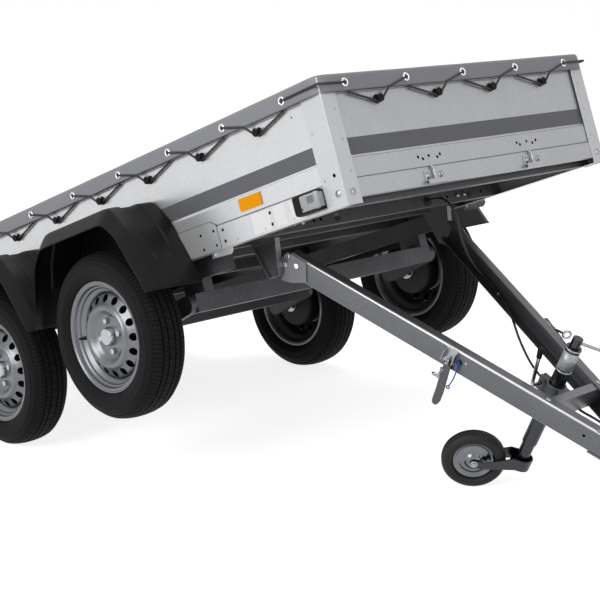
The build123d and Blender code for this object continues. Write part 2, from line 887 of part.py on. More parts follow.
pieces.append(("hinge_plates", hinge_plates.part, drawbar_pose))

# Cross beam: a box tube inside the legs' channels, ahead of the jockey tube
beam_half = leg_half_width(cross_beam_station + cross_beam_depth) - leg_sheet / cos(leg_angle)
cross_beam_base = leg_base + leg_sheet
cross_beam_height = leg_height - 2 * leg_sheet
with BuildPart() as cross_beam:
    with BuildSketch(Plane.XZ.offset(-beam_half)):
        with Locations((cross_beam_station + cross_beam_depth / 2, cross_beam_base + cross_beam_height / 2)):
            Rectangle(cross_beam_depth, cross_beam_height)
            Rectangle(
                cross_beam_depth - 2 * leg_sheet,
                cross_beam_height - 2 * leg_sheet,
                mode=Mode.SUBTRACT,
            )
    extrude(amount=2 * beam_half)
pieces.append(("cross_beam", cross_beam.part, drawbar_pose))

# Jockey clamp: a split collar on the cross beam, with ears and a handle
clamp_radius = jockey_tube_radius + clamp_wall
ear_length = 36
ear_middle = 14
ear_station = jockey_station - jockey_tube_radius - ear_middle
with BuildPart() as jockey_clamp:
    with BuildSketch(Plane.XY.offset(clamp_base)):
        with Locations((jockey_station, 0)):
            Circle(clamp_radius)
        with Locations((jockey_station, 0)):
            Rectangle(cross_beam_station - jockey_station, clamp_width, align=(Align.MIN, Align.CENTER))
        with Locations((ear_station, 0)):
            Rectangle(ear_length, ear_width)
        with Locations((jockey_station, 0)):
            Circle(jockey_tube_radius + pin_clearance, mode=Mode.SUBTRACT)
        with Locations((ear_station, 0)):
            Rectangle(ear_length + 4, clamp_slit, mode=Mode.SUBTRACT)
    extrude(amount=clamp_height)
pieces.append(("jockey_clamp", jockey_clamp.part, drawbar_pose))

handle_back = 6
handle_lean = 14
handle_bend = 12
grip_wall = 3
handle_station = ear_station - handle_back
handle_height = clamp_base + clamp_height / 2
handle_top = (handle_station - handle_lean, -handle_out, handle_height + handle_rise)
with BuildPart() as clamp_handle:
    with BuildLine() as handle_line:
        FilletPolyline(
            (handle_station, -ear_width / 2, handle_height),
            (handle_station, -handle_out, handle_height),
            handle_top,
            radius=handle_bend,
        )
    with BuildSketch(Plane(origin=(handle_station, -ear_width / 2, handle_height), z_dir=(0, -1, 0))):
        Circle(handle_radius)
    sweep()
    with BuildSketch(Plane(origin=handle_top, z_dir=handle_line.wire() % 1)):
        Circle(handle_radius + grip_wall)
    extrude(amount=grip_length)
pieces.append(("clamp_handle", clamp_handle.part, drawbar_pose))

# Jockey tube with its cap, and the crank
with BuildPart() as jockey_tube:
    with BuildSketch(Plane.XY.offset(jockey_tube_end)):
        with Locations((jockey_station, 0)):
            Circle(jockey_tube_radius)
            Circle(jockey_tube_radius - jockey_tube_wall, mode=Mode.SUBTRACT)
    extrude(amount=jockey_top - jockey_tube_end)
    with BuildSketch(Plane.XY.offset(jockey_top)):
        with Locations((jockey_station, 0)):
            Circle(jockey_tube_radius)
    extrude(amount=jockey_tube_wall)
    with BuildSketch(Plane.XY.offset(jockey_top + jockey_tube_wall)):
        with Locations((jockey_station, 0)):
            Circle(jockey_cap_radius)
    extrude(amount=jockey_cap_height)
pieces.append(("jockey_tube", jockey_tube.part, drawbar_pose))

crank_lift = 22
crank_grip_length = 92
crank_grip_drop = 12
crank_height = jockey_top + crank_lift
crank_way = Vector(0.8, 0.6, 0)
crank_start = Vector(jockey_station, 0, crank_height) + crank_way * jockey_cap_radius
crank_end = crank_start + crank_way * crank_reach
with BuildPart() as crank:
    with Locations(Plane(origin=crank_start, z_dir=crank_way)):
        Cylinder(handle_radius, crank_reach, align=(Align.CENTER, Align.CENTER, Align.MIN))
    with Locations(crank_end - Vector(0, 0, crank_grip_drop)):
        Cylinder(2 * handle_radius, crank_grip_length, align=(Align.CENTER, Align.CENTER, Align.MIN))
pieces.append(("crank", crank.part, drawbar_pose))

# Nose plates over and under the legs' front ends, and the ball coupling with its handle
nose_rear = leg_front - nose_length
with BuildPart() as nose_plates:
    for base in (leg_top, leg_base - plate_sheet):
        with BuildSketch(Plane.XY.offset(base)):
            with BuildLine():
                Polyline(
                    (nose_rear, leg_half_width(nose_rear)),
                    (leg_front, leg_front_half_width),
                    (leg_front, -leg_front_half_width),
                    (nose_rear, -leg_half_width(nose_rear)),
                    close=True,
                )
            make_face()
        extrude(amount=plate_sheet)
pieces.append(("nose_plates", nose_plates.part, drawbar_pose))

coupling_base = leg_top + plate_sheet
ball_station = leg_front + ball_ahead
with BuildPart() as coupling:
    with BuildSketch(Plane.XY.offset(coupling_base)):
        with Locations((ball_station - coupling_length / 2, 0)):
            Rectangle(coupling_length, coupling_width)
        with Locations((ball_station, 0)):
            Circle(coupling_width / 2 + 3)
    extrude(amount=coupling_height)
    fillet(coupling.edges().group_by(Axis.Z)[-1], coupling_fillet)
    with BuildSketch(Plane.XY.offset(coupling_base)):
        with Locations((ball_station, 0)):
            Circle(coupling_bore)
        with Locations((ball_station - coupling_length / 2 - coupling_bore - 18, 0)):
            Rectangle(coupling_length - 60, coupling_width - 2 * coupling_wall)
    extrude(amount=coupling_height - coupling_roof, mode=Mode.SUBTRACT)
pieces.append(("coupling", coupling.part, drawbar_pose))

# The handle's side as (distance behind the ball, height over the coupling)
handle_side = [(30, 0), (6, 0), (20, 30), (120, 52), (128, 40), (36, 20)]
coupling_handle_width = 28
coupling_top = coupling_base + coupling_height
with BuildPart() as coupling_handle:
    with BuildSketch(Plane.XZ.offset(-coupling_handle_width / 2)):
        with BuildLine():
            Polyline(
                *[(ball_station - behind, coupling_top + height) for behind, height in handle_side],
                close=True,
            )
        make_face()
    extrude(amount=coupling_handle_width)
pieces.append(("coupling_handle", coupling_handle.part, drawbar_pose))

# Latches that hold the closed bed: a bracket on each leg and a lever with an eye
with BuildPart() as latch_brackets:
    latch_plane = Plane(
        origin=(latch_station, -leg_half_width(latch_station), leg_base),
        x_dir=(cos(leg_angle), sin(leg_angle), 0),
        z_dir=(sin(leg_angle), -cos(leg_angle), 0),
    )
    with BuildSketch(latch_plane):
        with Locations((0, leg_height - latch_height / 3)):
            Rectangle(latch_width, latch_height)
    extrude(amount=plate_sheet)
    mirror(about=Plane.XZ)
pieces.append(("latch_brackets", latch_brackets.part, drawbar_pose))

# The lever's side as (distance ahead of the bracket's middle, drop below the leg's top)
lever_side = [(-12, 0), (12, 0), (8, 80), (-30, 180), (-44, 172), (-16, 70)]
with BuildPart() as latch_levers:
    with BuildSketch(latch_plane.offset(plate_sheet)):
        with BuildLine():
            Polyline(*[(ahead, leg_height - drop) for ahead, drop in lever_side], close=True)
        make_face()
    extrude(amount=lever_thickness)
    mirror(about=Plane.XZ)
pieces.append(("latch_levers", latch_levers.part, drawbar_pose))

# Light cable from the bed's cross member along the left leg to the plug at the coupling
plug_neck_radius = 9
plug_neck_length = 22
plug_radius = 16
plug_length = 46
plug_holder_depth = 20
cable_exit = Vector(cable_member + grommet_length, cable_hole_y, member_middle)
exit_turn = radians(tip_angle)
cable_start = (
    cable_exit.X * cos(exit_turn) - cable_exit.Z * sin(exit_turn),
    cable_exit.Y,
    cable_exit.X * sin(exit_turn) + cable_exit.Z * cos(exit_turn),
)
plug_height = 42
plug_y = 31
first_run = 32
cable_route = [
    cable_start,
    (cable_start[0] + first_run, cable_hole_y, cable_start[2] + first_run),
    (99, 221, 221),
    (135, 231, 193),
    (152, 246, 148),
    (170, 268, 105),
    (195, 292, 66),
    (235, 307, 38),
    (295, 303, 28),
    (370, 280, 28),
    (440, 246, 31),
    (505, 203, 24),
    (565, 184, -7),
    (642, 165, -36),
    (720, 133, -34),
    (785, 104, -16),
    (847, 84, -2),
    (910, 66, 2),
    (985, 46, 28),
    (1060, plug_y, plug_height),
    (1120, plug_y, plug_height),
]


def route_radii(route):
    """Arc radii at the route's inner points: 0.45 of the shorter run over tan of half the turn."""
    radii = []
    for before, here, after in zip(route, route[1:], route[2:]):
        run_in = Vector(*here) - Vector(*before)
        run_out = Vector(*after) - Vector(*here)
        half_turn = radians(run_in.get_angle(run_out)) / 2
        shorter = min(run_in.length, run_out.length)
        radii.append(0.45 * shorter * cos(half_turn) / sin(half_turn))
    return radii


cable_radii = route_radii(cable_route)
print("cable arc radii:", [round(radius) for radius in cable_radii])
with BuildLine() as cable_run:
    FilletPolyline(*cable_route, radius=cable_radii)
cable_path = cable_run.wire()
with BuildPart() as cable:
    with BuildSketch(Plane(origin=cable_path @ 0, z_dir=cable_path % 0)) as cable_section:
        Circle(cable_radius)
    sweep(path=cable_path)
cable_fill = cable.part.volume / (cable_path.length * cable_section.sketch.area)
print("cable length:", round(cable_path.length), "volume over section times length:", round(cable_fill, 4))
pieces.append(("cable", cable.part, drawbar_pose))

plug_neck = Plane(origin=cable_path @ 1, z_dir=cable_path % 1)
with BuildPart() as plug:
    with BuildSketch(plug_neck):
        Circle(plug_neck_radius)
    extrude(amount=plug_neck_length)
    with BuildSketch(plug_neck.offset(plug_neck_length)):
        Circle(plug_radius)
    extrude(amount=plug_length)
pieces.append(("plug", plug.part, drawbar_pose))

# Holder on the left leg's lower flange that the plug is parked in
plug_end = cable_path @ 1 + Vector(plug_neck_length + plug_length, 0, 0)
with BuildPart() as plug_holder:
    with Locations((plug_end.X, plug_end.Y, leg_base + leg_sheet)):
        Box(
            plug_holder_depth,
            2 * plug_radius,
            plug_height + plug_radius - leg_base - leg_sheet,
            align=(Align.MIN, Align.CENTER, Align.MIN),
        )
pieces.append(("plug_holder", plug_holder.part, drawbar_pose))

# Jockey stem, fork and wheel
with BuildPart() as jockey_stem:
    with BuildSketch(Plane.XY.offset(stem_end)):
        with Locations((jockey_station, 0)):
            Circle(stem_radius)
            Circle(stem_radius - stem_wall, mode=Mode.SUBTRACT)
    extrude(amount=jockey_top - stem_top_gap - stem_end)
pieces.append(("jockey_stem", jockey_stem.part, drawbar_pose))

swivel_pose = drawbar_pose * Location((jockey_station, 0, 0), (0, 0, swivel_angle))
spigot_radius = stem_radius - stem_wall - pin_clearance
hub_front = -trail + 30
with BuildPart() as jockey_fork:
    with BuildSketch(Plane.XY.offset(jockey_axle_height - fork_hub_radius)):
        with BuildLine():
            Polyline((-trail - fork_hub_radius, -fork_half_width), (0, -fork_half_width))
            ThreePointArc((0, -fork_half_width), (fork_half_width, 0), (0, fork_half_width))
            Line((0, fork_half_width), (-trail - fork_hub_radius, fork_half_width))
            offset(amount=fork_sheet, side=Side.LEFT)
        make_face()
    extrude(amount=fork_top - jockey_axle_height + fork_hub_radius)
    with BuildSketch(Plane.XZ.offset(2 * fork_half_width)):
        with Locations((-trail, jockey_axle_height)):
            Circle(fork_hub_radius)
        with BuildLine():
            Polyline(
                (-trail, jockey_axle_height - fork_hub_radius),
                (hub_front, jockey_axle_height - fork_hub_radius + 4),
                (-fork_half_width / 2, fork_bottom),
                (2 * fork_half_width, fork_bottom),
                (2 * fork_half_width, fork_top),
                (-fork_half_width, fork_top),
                (hub_front, jockey_axle_height + fork_hub_radius + 2),
                (-trail, jockey_axle_height + fork_hub_radius),
                close=True,
            )
        make_face()
    extrude(amount=-4 * fork_half_width, mode=Mode.INTERSECT)
    with Locations((0, 0, fork_bottom)):
        Cylinder(fork_half_width - fork_sheet / 2, 12, align=(Align.CENTER, Align.CENTER, Align.MIN))
        Cylinder(stem_radius, stem_end - fork_bottom - 1, align=(Align.CENTER, Align.CENTER, Align.MIN))
        Cylinder(
            spigot_radius,
            stem_end - fork_bottom + spigot_length,
            align=(Align.CENTER, Align.CENTER, Align.MIN),
        )
    with Locations(Plane(origin=(-trail, -fork_half_width, jockey_axle_height), z_dir=(0, 1, 0))):
        Cylinder(pin_radius, 2 * fork_half_width, align=(Align.CENTER, Align.CENTER, Align.MIN))
pieces.append(("jockey_fork", jockey_fork.part, swivel_pose))

jockey_wheel_pose = swivel_pose * Location((-trail, 0, jockey_axle_height), (90, 0, 0))
jockey_disc_radius = 66
jockey_seat_gap = 0.3
jockey_hub_radius = 20
jockey_hub_half = 26
jockey_disc_half = 10
with BuildPart() as jockey_tyre:
    with BuildSketch(Plane.XZ):
        with Locations(((jockey_wheel_radius + jockey_disc_radius) / 2, 0)):
            RectangleRounded(jockey_wheel_radius - jockey_disc_radius, jockey_wheel_width, jockey_edge)
    revolve(axis=Axis.Z)
pieces.append(("jockey_tyre", jockey_tyre.part, jockey_wheel_pose))

with BuildPart() as jockey_disc:
    with BuildSketch(Plane.XZ):
        with BuildLine():
            Polyline(
                (pin_radius + pin_clearance, -jockey_hub_half),
                (jockey_hub_radius, -jockey_hub_half),
                (jockey_hub_radius, -jockey_disc_half),
                (jockey_disc_radius - jockey_seat_gap, -jockey_disc_half),
                (jockey_disc_radius - jockey_seat_gap, jockey_disc_half),
                (jockey_hub_radius, jockey_disc_half),
                (jockey_hub_radius, jockey_hub_half),
                (pin_radius + pin_clearance, jockey_hub_half),
                close=True,
            )
        make_face()
    revolve(axis=Axis.Z)
pieces.append(("jockey_disc", jockey_disc.part, jockey_wheel_pose))

# Place everything over the middle of its length, and write one file for each piece
spans = [part.moved(pose).bounding_box() for node, part, pose in pieces]
rest_front = max(span.max.X for span in spans)
rest_rear = min(span.min.X for span in spans)
centring = Location((-(rest_front + rest_rear) / 2, 0, 0))
for node, part, pose in pieces:
    placed = part.moved(centring * pose)
    placed.label = node
    export_step(placed, f"parts/{node}.step")
print("bed tilt:", round(bed_tilt, 3), "hinge height:", round(hinge_height, 2))
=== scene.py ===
# %% [markdown]
# # A tipping utility trailer
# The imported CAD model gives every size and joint. This lesson dresses it: materials first, then the
# soft cover and its lacing, then what repeats on the sheet metal, the tyres and the small fittings.

import json
from math import atan2, cos, exp, pi, radians, sin, tau

import bmesh
import bpy
from mathutils import Matrix, Vector, noise


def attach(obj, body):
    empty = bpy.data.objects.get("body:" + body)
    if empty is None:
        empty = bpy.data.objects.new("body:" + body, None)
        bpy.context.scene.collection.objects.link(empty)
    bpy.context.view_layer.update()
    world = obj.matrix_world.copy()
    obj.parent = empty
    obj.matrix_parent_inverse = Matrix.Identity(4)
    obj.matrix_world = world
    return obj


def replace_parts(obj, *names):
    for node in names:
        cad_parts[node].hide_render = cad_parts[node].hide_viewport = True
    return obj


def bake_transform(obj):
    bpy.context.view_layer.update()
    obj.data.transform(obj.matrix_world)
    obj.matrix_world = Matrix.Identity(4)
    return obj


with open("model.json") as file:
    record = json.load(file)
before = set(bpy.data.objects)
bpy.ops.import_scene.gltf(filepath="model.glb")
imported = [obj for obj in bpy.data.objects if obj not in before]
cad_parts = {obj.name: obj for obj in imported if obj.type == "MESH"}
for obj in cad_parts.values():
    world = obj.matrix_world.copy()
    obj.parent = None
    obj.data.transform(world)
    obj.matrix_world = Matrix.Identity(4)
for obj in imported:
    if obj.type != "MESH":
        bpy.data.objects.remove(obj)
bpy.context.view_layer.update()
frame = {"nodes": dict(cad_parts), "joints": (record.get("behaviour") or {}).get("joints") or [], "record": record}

# %% [markdown]
# The bed and the drawbar each have a level frame of their own, with its origin on the tipping hinge.
# Sizes on them are written in millimetres, and one matrix for each turns them to where they stand.
# The directions are read from the joints, so the matrices follow the CAD model.

# %% Bed and drawbar frames
joints = {joint["name"]: joint for joint in frame["joints"]}
hinge = Vector(joints["bed_tipping"]["pos_m"])
front_wheel = Vector(joints["wheel_front_right_roll"]["pos_m"])
rear_wheel = Vector(joints["wheel_rear_right_roll"]["pos_m"])


def level_frame(forward):
    """Matrix from millimetres in a level frame at the hinge to metres at rest."""
    along = forward.normalized()
    left = Vector((0, 1, 0))
    up = along.cross(left)
    axes = Matrix((along, left, up)).transposed().to_4x4()
    return Matrix.Translation(hinge) @ axes @ Matrix.Scale(0.001, 4)


bed = level_frame(front_wheel - rear_wheel)
tube_down = Vector(joints["jockey_wind"]["axis"])
drawbar = level_frame(Vector((0, 1, 0)).cross(-tube_down))
print("bed slope", round(atan2(bed[2][0], bed[0][0]) * 180 / pi, 2))

# %% [markdown]
# Main sizes of the CAD model that pieces are fitted to, in millimetres in the bed's frame.

# %% Sizes
BED_FRONT = 585
BED_REAR = -2065
COVER_FRONT = 596
COVER_REAR = -2110
COVER_HALF = 621
COVER_TOP = 467
SKIRT_BOTTOM = 414
HOOK_HEIGHT = 385
WALL_LOW = 610  # the walls step in on their way up
WALL_UPPER = 604
FRONT_BAND = 583
FRONT_UPPER = 579
POST_FACE = 612
print("bed", BED_FRONT - BED_REAR, "x", 2 * WALL_LOW)

# %% [markdown]
# ## Materials
# Colours are written as sRGB hex values, as a colour picker shows them, and turned to the linear
# values that a shader works in. One small function adds a node, sets it and links it.

# %% Material helpers


def linear(colour):
    """Linear RGBA from an sRGB hex value."""
    channels = [int(colour[i : i + 2], 16) / 255 for i in (1, 3, 5)]
    return [c / 12.92 if c <= 0.04045 else ((c + 0.055) / 1.055) ** 2.4 for c in channels] + [1.0]


def add_node(tree, kind, inputs=None, **settings):
    """Adds a node; inputs holds values and sockets to link from, by the input's name or number."""
    node = tree.nodes.new(kind)
    for name, value in settings.items():
        setattr(node, name, value)
    for key, value in (inputs or {}).items():
        if isinstance(value, bpy.types.NodeSocket):
            tree.links.new(value, node.inputs[key])
        else:
            node.inputs[key].default_value = value
    return node


def surface(name, **values):
    """A material with one Principled shader, and its tree, shader and Object coordinates."""
    material = bpy.data.materials.new(name)
    material.use_nodes = True
    tree = material.node_tree
    shader = tree.nodes["Principled BSDF"]
    for key, value in values.items():
        shader.inputs[key.replace("_", " ").title().replace("Ior", "IOR")].default_value = value
    place = add_node(tree, "ShaderNodeTexCoord").outputs["Object"]
    return material, tree, shader, place


print("middle grey in linear terms:", round(linear("#808080")[0], 3))

# %% [markdown]
# Galvanised sheet is steel dipped or rolled with zinc. Its crystals, the spangle, break the shine into
# faint flakes a few millimetres wide, so a Voronoi pattern shifts the colour and roughness slightly.

# %% Galvanised sheet
SPANGLE = 1 / 0.004
CLOUD_SCALE = 9.0  # clouds about 110 mm wide


def galvanised(name, colour, flake, metallic, roughness, bend_highlight_colour=None, spread=0.6):
    """Zinc-coated steel with a faint spangle, with a painted highlight in a brighter colour where the mesh says
    bend.
    """
    material, tree, shader, place = surface(name, metallic=metallic, roughness=roughness)
    flakes = add_node(tree, "ShaderNodeTexVoronoi", {"Vector": place, "Scale": SPANGLE})
    cloud = add_node(tree, "ShaderNodeTexNoise", {"Vector": place, "Scale": CLOUD_SCALE, "Detail": 4.0})
    both = {0: flakes.outputs["Color"], 1: cloud.outputs["Fac"]}
    mixed = add_node(tree, "ShaderNodeMath", both, operation="MULTIPLY")
    tone = add_node(tree, "ShaderNodeValToRGB", {"Fac": mixed.outputs[0]})
    tone.color_ramp.elements[0].color = linear(flake)
    tone.color_ramp.elements[1].color = linear(colour)
    tone.color_ramp.elements[1].position = spread
    limits = {"Value": mixed.outputs[0], "To Min": roughness + 0.04, "To Max": roughness - 0.06}
    gloss = add_node(tree, "ShaderNodeMapRange", limits)
    tree.links.new(gloss.outputs["Result"], shader.inputs["Roughness"])
    colours = tone.outputs["Color"]
    if bend_highlight_colour:
        bend = add_node(tree, "ShaderNodeAttribute", attribute_name="bend")
        ends = {0: bend.outputs["Fac"], 6: colours, 7: linear(bend_highlight_colour)}
        painted_bend_highlight = add_node(tree, "ShaderNodeMix", ends, data_type="RGBA")
        colours = painted_bend_highlight.outputs[2]
    tree.links.new(colours, shader.inputs["Base Color"])
    return material


# Rolled sheet is pale and has a broad, soft shine
side_sheet = galvanised("zinc coated sheet, side", "#D2D3D4", "#C6C7C9", 0.7, 0.3)
# The front's sheet is the side sheet painted a shade greyer, as shade where it faces away from the key lamp, and a
# little duller
front_sheet_shaded = galvanised("zinc coated sheet, front, painted shade", "#B4B5B7", "#A7A8AB", 0.65, 0.34)
# A dipped coat is thicker, and weathers to a middle grey
frame_steel = galvanised("hot-dip galvanised steel", "#7C7D80", "#6E6F72", 0.7, 0.38)
# The drawbar's plate has a painted highlight: its bends are painted near white, as where they catch the light
leg_steel = galvanised("hot-dip galvanised plate", "#6A6B6E", "#5E5F62", 0.75, 0.34, bend_highlight_colour="#F0F0F0")
# The posts have an even, matt skin that hardly mirrors
post_sheet = galvanised("zinc coated sheet, posts", "#CBCCCE", "#C1C2C4", 0.25, 0.4)
# Under the bed the coat is dull, and it is painted dark as the shade under the bed
under_steel_shaded = galvanised("hot-dip galvanised steel, dull, painted shade", "#5A5B5E", "#4A4B4E", 0.6, 0.5, spread=0.5)
print("galvanised steels:", side_sheet.name, "and", leg_steel.name)

# %% [markdown]
# Smaller parts are zinc plated, which is brighter and smoother than a dipped coat, and the rims have
# a silver lacquer whose flakes give a soft sheen under a clear coat. No made surface is quite even, so
# one function gives a material its own grain, of a real size: the grain shifts the colour and the
# gloss, and lifts the surface a little.

# %% Plated and lacquered metal


def varied(name, colours, size, roughness, bump=0.05, stretch=(1, 1, 1), cells=False, **values):
    """A material with a grain of the given size in metres, as noise or as regular cells."""
    material, tree, shader, place = surface(name, **values)
    spot = add_node(tree, "ShaderNodeMapping", {"Vector": place, "Scale": stretch}).outputs["Vector"]
    if cells:
        grain = add_node(tree, "ShaderNodeTexVoronoi", {"Vector": spot, "Scale": 1 / size, "Randomness": 0.0})
        height = grain.outputs["Distance"]
    else:
        grain = add_node(tree, "ShaderNodeTexNoise", {"Vector": spot, "Scale": 1 / size, "Detail": 3.0})
        height = grain.outputs["Fac"]
    ends = {0: height, 6: linear(colours[0]), 7: linear(colours[1])}
    tone = add_node(tree, "ShaderNodeMix", ends, data_type="RGBA")
    tree.links.new(tone.outputs[2], shader.inputs["Base Color"])
    limits = {"Value": height, "To Min": roughness[0], "To Max": roughness[1]}
    gloss = add_node(tree, "ShaderNodeMapRange", limits)
    tree.links.new(gloss.outputs["Result"], shader.inputs["Roughness"])
    lift = add_node(tree, "ShaderNodeBump", {"Height": height, "Strength": bump, "Distance": size / 8})
    tree.links.new(lift.outputs["Normal"], shader.inputs["Normal"])
    return material


# Electroplated zinc mirrors its surroundings, dulled by handling
bright_zinc = varied("bright zinc plated steel", ("#8A8C90", "#A2A4A8"), 0.006, (0.24, 0.36), metallic=1.0)
# A pressed disc that runs near the road has lost its first brightness
disc_zinc = varied("zinc plated sheet, pressed", ("#66686C", "#787A7E"), 0.01, (0.16, 0.28), metallic=1.0)
# Turned and plated hub parts have the sharpest highlights on the trailer
hub_zinc = varied("zinc plated steel, turned", ("#9A9CA0", "#B2B4B8"), 0.008, (0.14, 0.24), metallic=1.0)
# Nickel stays white and clear, so that each eyelet shows as a bright dot
nickel = varied("nickel plate, polished", ("#DCDCDE", "#ECECEE"), 0.005, (0.18, 0.26), metallic=0.9)
# Sand cast iron is pitted and hardly shines
cast_iron = varied("cast iron, rough", ("#19191A", "#2B2B2C"), 0.003, (0.55, 0.75), 0.4, metallic=0.4)
# A drawn tube is smooth, with long soft highlights
tube_zinc = varied("zinc plated tube, drawn", ("#3A3C3F", "#484A4D"), 0.004, (0.2, 0.32), metallic=1.0)
# Aluminium flakes under a clear coat: a soft sheen with a sharper one on top
CLEAR_COAT = {"coat_weight": 0.25, "coat_roughness": 0.2}
silver_lacquer = varied(
    "silver lacquered steel", ("#646669", "#6E7074"), 0.0015, (0.3, 0.38), 0.03, metallic=0.7, **CLEAR_COAT
)
# Phosphate crystals leave forged steel dark and dull
dark_steel = varied(
    "forged steel, phosphated", ("#484A4C", "#5A5B5D"), 0.004, (0.38, 0.52), 0.15, metallic=0.7
)
print("plated and lacquered metals:", bright_zinc.name, "and", silver_lacquer.name)

# %% [markdown]
# The cover is PVC-coated polyester: a fine woven ground shows through the coating as a faint grid, and
# the coat itself has a low, even sheen.

# %% Coated fabric
THREAD = 0.001
COARSER = 4 * pi  # the threads are drawn about twelve times too coarse, so that they show
WAVE_PERIOD = tau / 20  # of the wave texture at a scale of 1
SLACK_SCALE = 7.0  # slack places about 140 mm wide
tarpaulin, tree, shader, place = surface("PVC coated polyester, woven", roughness=0.52)
ribs = {"Vector": place, "Scale": WAVE_PERIOD / (THREAD * COARSER), "Distortion": 0.2}
across = add_node(tree, "ShaderNodeTexWave", ribs).outputs["Fac"]
along = add_node(tree, "ShaderNodeTexWave", ribs, bands_direction="Y").outputs["Fac"]
weave = add_node(tree, "ShaderNodeMath", {0: across, 1: along}, operation="ADD").outputs[0]
weave_bump = add_node(tree, "ShaderNodeBump", {"Height": weave, "Strength": 0.08, "Distance": 0.0004})
slack = add_node(tree, "ShaderNodeTexNoise", {"Vector": place, "Scale": SLACK_SCALE, "Detail": 3.0})
folds = {"Height": slack.outputs["Fac"], "Normal": weave_bump.outputs["Normal"]}
slack_bump = add_node(tree, "ShaderNodeBump", {**folds, "Strength": 0.3, "Distance": 0.006})
tree.links.new(slack_bump.outputs["Normal"], shader.inputs["Normal"])
wear = add_node(tree, "ShaderNodeValToRGB", {"Fac": slack.outputs["Fac"]})
wear.color_ramp.elements[0].color = linear("#77787D")
wear.color_ramp.elements[1].color = linear("#808186")
tree.links.new(wear.outputs["Color"], shader.inputs["Base Color"])
print("fabric:", tarpaulin.name)

# %% [markdown]
# Mudguards, lamps and handles are moulded plastic with an eroded grain; tyres and cable sheath are
# rubber, which scatters light so evenly that it looks almost flat.

# %% Plastics and rubber
# An eroded mould leaves a fine grain that keeps black plastic from shining
black_plastic = varied(
    "moulded polypropylene, grained",
    ("#0A0A0B", "#0E0E0F"),
    0.0014,
    (0.46, 0.54),
    0.12,
    specular_ior_level=0.14,
)
# Tyre rubber blooms in faint grey clouds and has almost no highlight
tyre_rubber = varied(
    "vulcanised rubber, moulded", ("#080809", "#0D0D0E"), 0.012, (0.68, 0.82), 0.1, specular_ior_level=0.15
)
# A solid tyre is denser and a little shinier
solid_rubber = varied(
    "solid rubber, moulded", ("#161617", "#1E1E1F"), 0.008, (0.54, 0.66), specular_ior_level=0.3
)
# An extruded sheath is even, with one soft line of light
cord_rubber = varied("rubber sheath, extruded", ("#111112", "#171718"), 0.004, (0.54, 0.66))
print("plastic and rubber:", black_plastic.name, "and", tyre_rubber.name)

# %% [markdown]
# Lamps and reflectors are moulded acrylic. Noise would make them look frosted, so their grain is the
# regular cells instead, at the size of the prisms on the real ones.

# %% Lenses and reflectors
# Lamp lenses and reflectors are moulded over rows of small prisms, which break the light up
PRISMS = {"bump": 0.3, "cells": True}
clear_lens = varied("acrylic, moulded clear", ("#A8AAAD", "#96989B"), 0.006, (0.12, 0.2), ior=1.49, **PRISMS)
AMBER = ("#EE9E08", "#DA8A02")
orange_acrylic = varied(
    "acrylic reflector, prismatic", AMBER, 0.004, (0.3, 0.4), specular_ior_level=0.06, **PRISMS
)
red_acrylic = varied("acrylic lamp, prismatic", ("#A8181E", "#92080E"), 0.004, (0.16, 0.26), **PRISMS)
print("lenses:", clear_lens.name, "and", red_acrylic.name)

# %% [markdown]
# What is left is pressed board, cut film, paper, foil and braided cord. They could share one plain
# material, but each is known by its own gloss and by the size of its grain.

# %% Board, film, labels and cord
# Phenolic film over veneer keeps the grain of the wood as long low ridges
plywood = varied("film-faced plywood, pressed", ("#33231A", "#473126"), 0.01, (0.48, 0.62), 0.2, (0.15, 1, 1))
# Cut film lies flat and has a satin gloss
stripe_film = varied("vinyl film, cut", ("#4E4F51", "#545557"), 0.02, (0.4, 0.5), 0.03)
# Painted shade: near black stands for the dark inside holes, gaps and vents
hole_shade_dark = varied(
    "painted shade in a gap", ("#040404", "#080808"), 0.004, (0.85, 0.95), specular_ior_level=0.0
)
# Laminated paper is white, with fibres that just show
label_paper = varied("paper label, matt laminated", ("#DADADA", "#E4E4E4"), 0.01, (0.54, 0.66), 0.04)
# A foil label is as grey as the tube's own zinc, only smoother
label_foil = varied(
    "aluminium foil label, printed", ("#98999B", "#A6A7A9"), 0.012, (0.36, 0.46), 0.04, metallic=0.35
)
# The braid's strands cross in small diamonds
blue_nylon = varied("nylon cord, braided", ("#044E9C", "#034286"), 0.0015, (0.5, 0.7), 0.5, cells=True)
print("board, film, labels and cord:", plywood.name, "and", blue_nylon.name)

# %% [markdown]
# Each CAD node has a slot in the record that names its finish, so one table from slot to material
# dresses them all. Some nodes then get a duller or darker metal than their slot has.

# %% Materials on the CAD nodes
SLOT_MATERIALS = {
    "galvanised_side": side_sheet,
    "galvanised_front": front_sheet_shaded,
    "galvanised_frame": frame_steel,
    "plywood_floor": plywood,
    "tarpaulin": tarpaulin,
    "black_plastic": black_plastic,
    "clear_lens": clear_lens,
    "orange_reflector": orange_acrylic,
    "red_lamp": red_acrylic,
    "tyre_rubber": tyre_rubber,
    "cable_rubber": cord_rubber,
    "silver_rim": silver_lacquer,
    "zinc_bright": bright_zinc,
}
for entry in frame["record"]["subparts"]:
    node = frame["nodes"][entry["node"]]
    node.data.materials.clear()
    node.data.materials.append(SLOT_MATERIALS[entry["material_slot"]])
# Cross members, axle rails and axles take the dark steel: painted shade under the bed
for node in ("cross_members", "axle_rails", "axle_front", "axle_rear"):
    frame["nodes"][node].data.materials[0] = under_steel_shaded
frame["nodes"]["corner_posts"].data.materials[0] = post_sheet
for node in ("jockey_tube", "jockey_stem", "jockey_fork"):
    frame["nodes"][node].data.materials[0] = tube_zinc

# %% [markdown]
# ## Shape helpers
# Most CAD nodes stay as they are built. A copy whose loose triangles are merged can take a bevel, and
# the thin highlight on each edge is what makes folded steel and moulded plastic look real.

# %% Dressed CAD nodes
SHARP_ANGLE = radians(32)
BODY_OF = {node: body for body, nodes in frame["record"]["behaviour"]["bodies"].items() for node in nodes}


def settle(obj, body):
    """Links a finished object and lets it ride its body."""
    bpy.context.collection.objects.link(obj)
    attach(obj, body)
    return obj


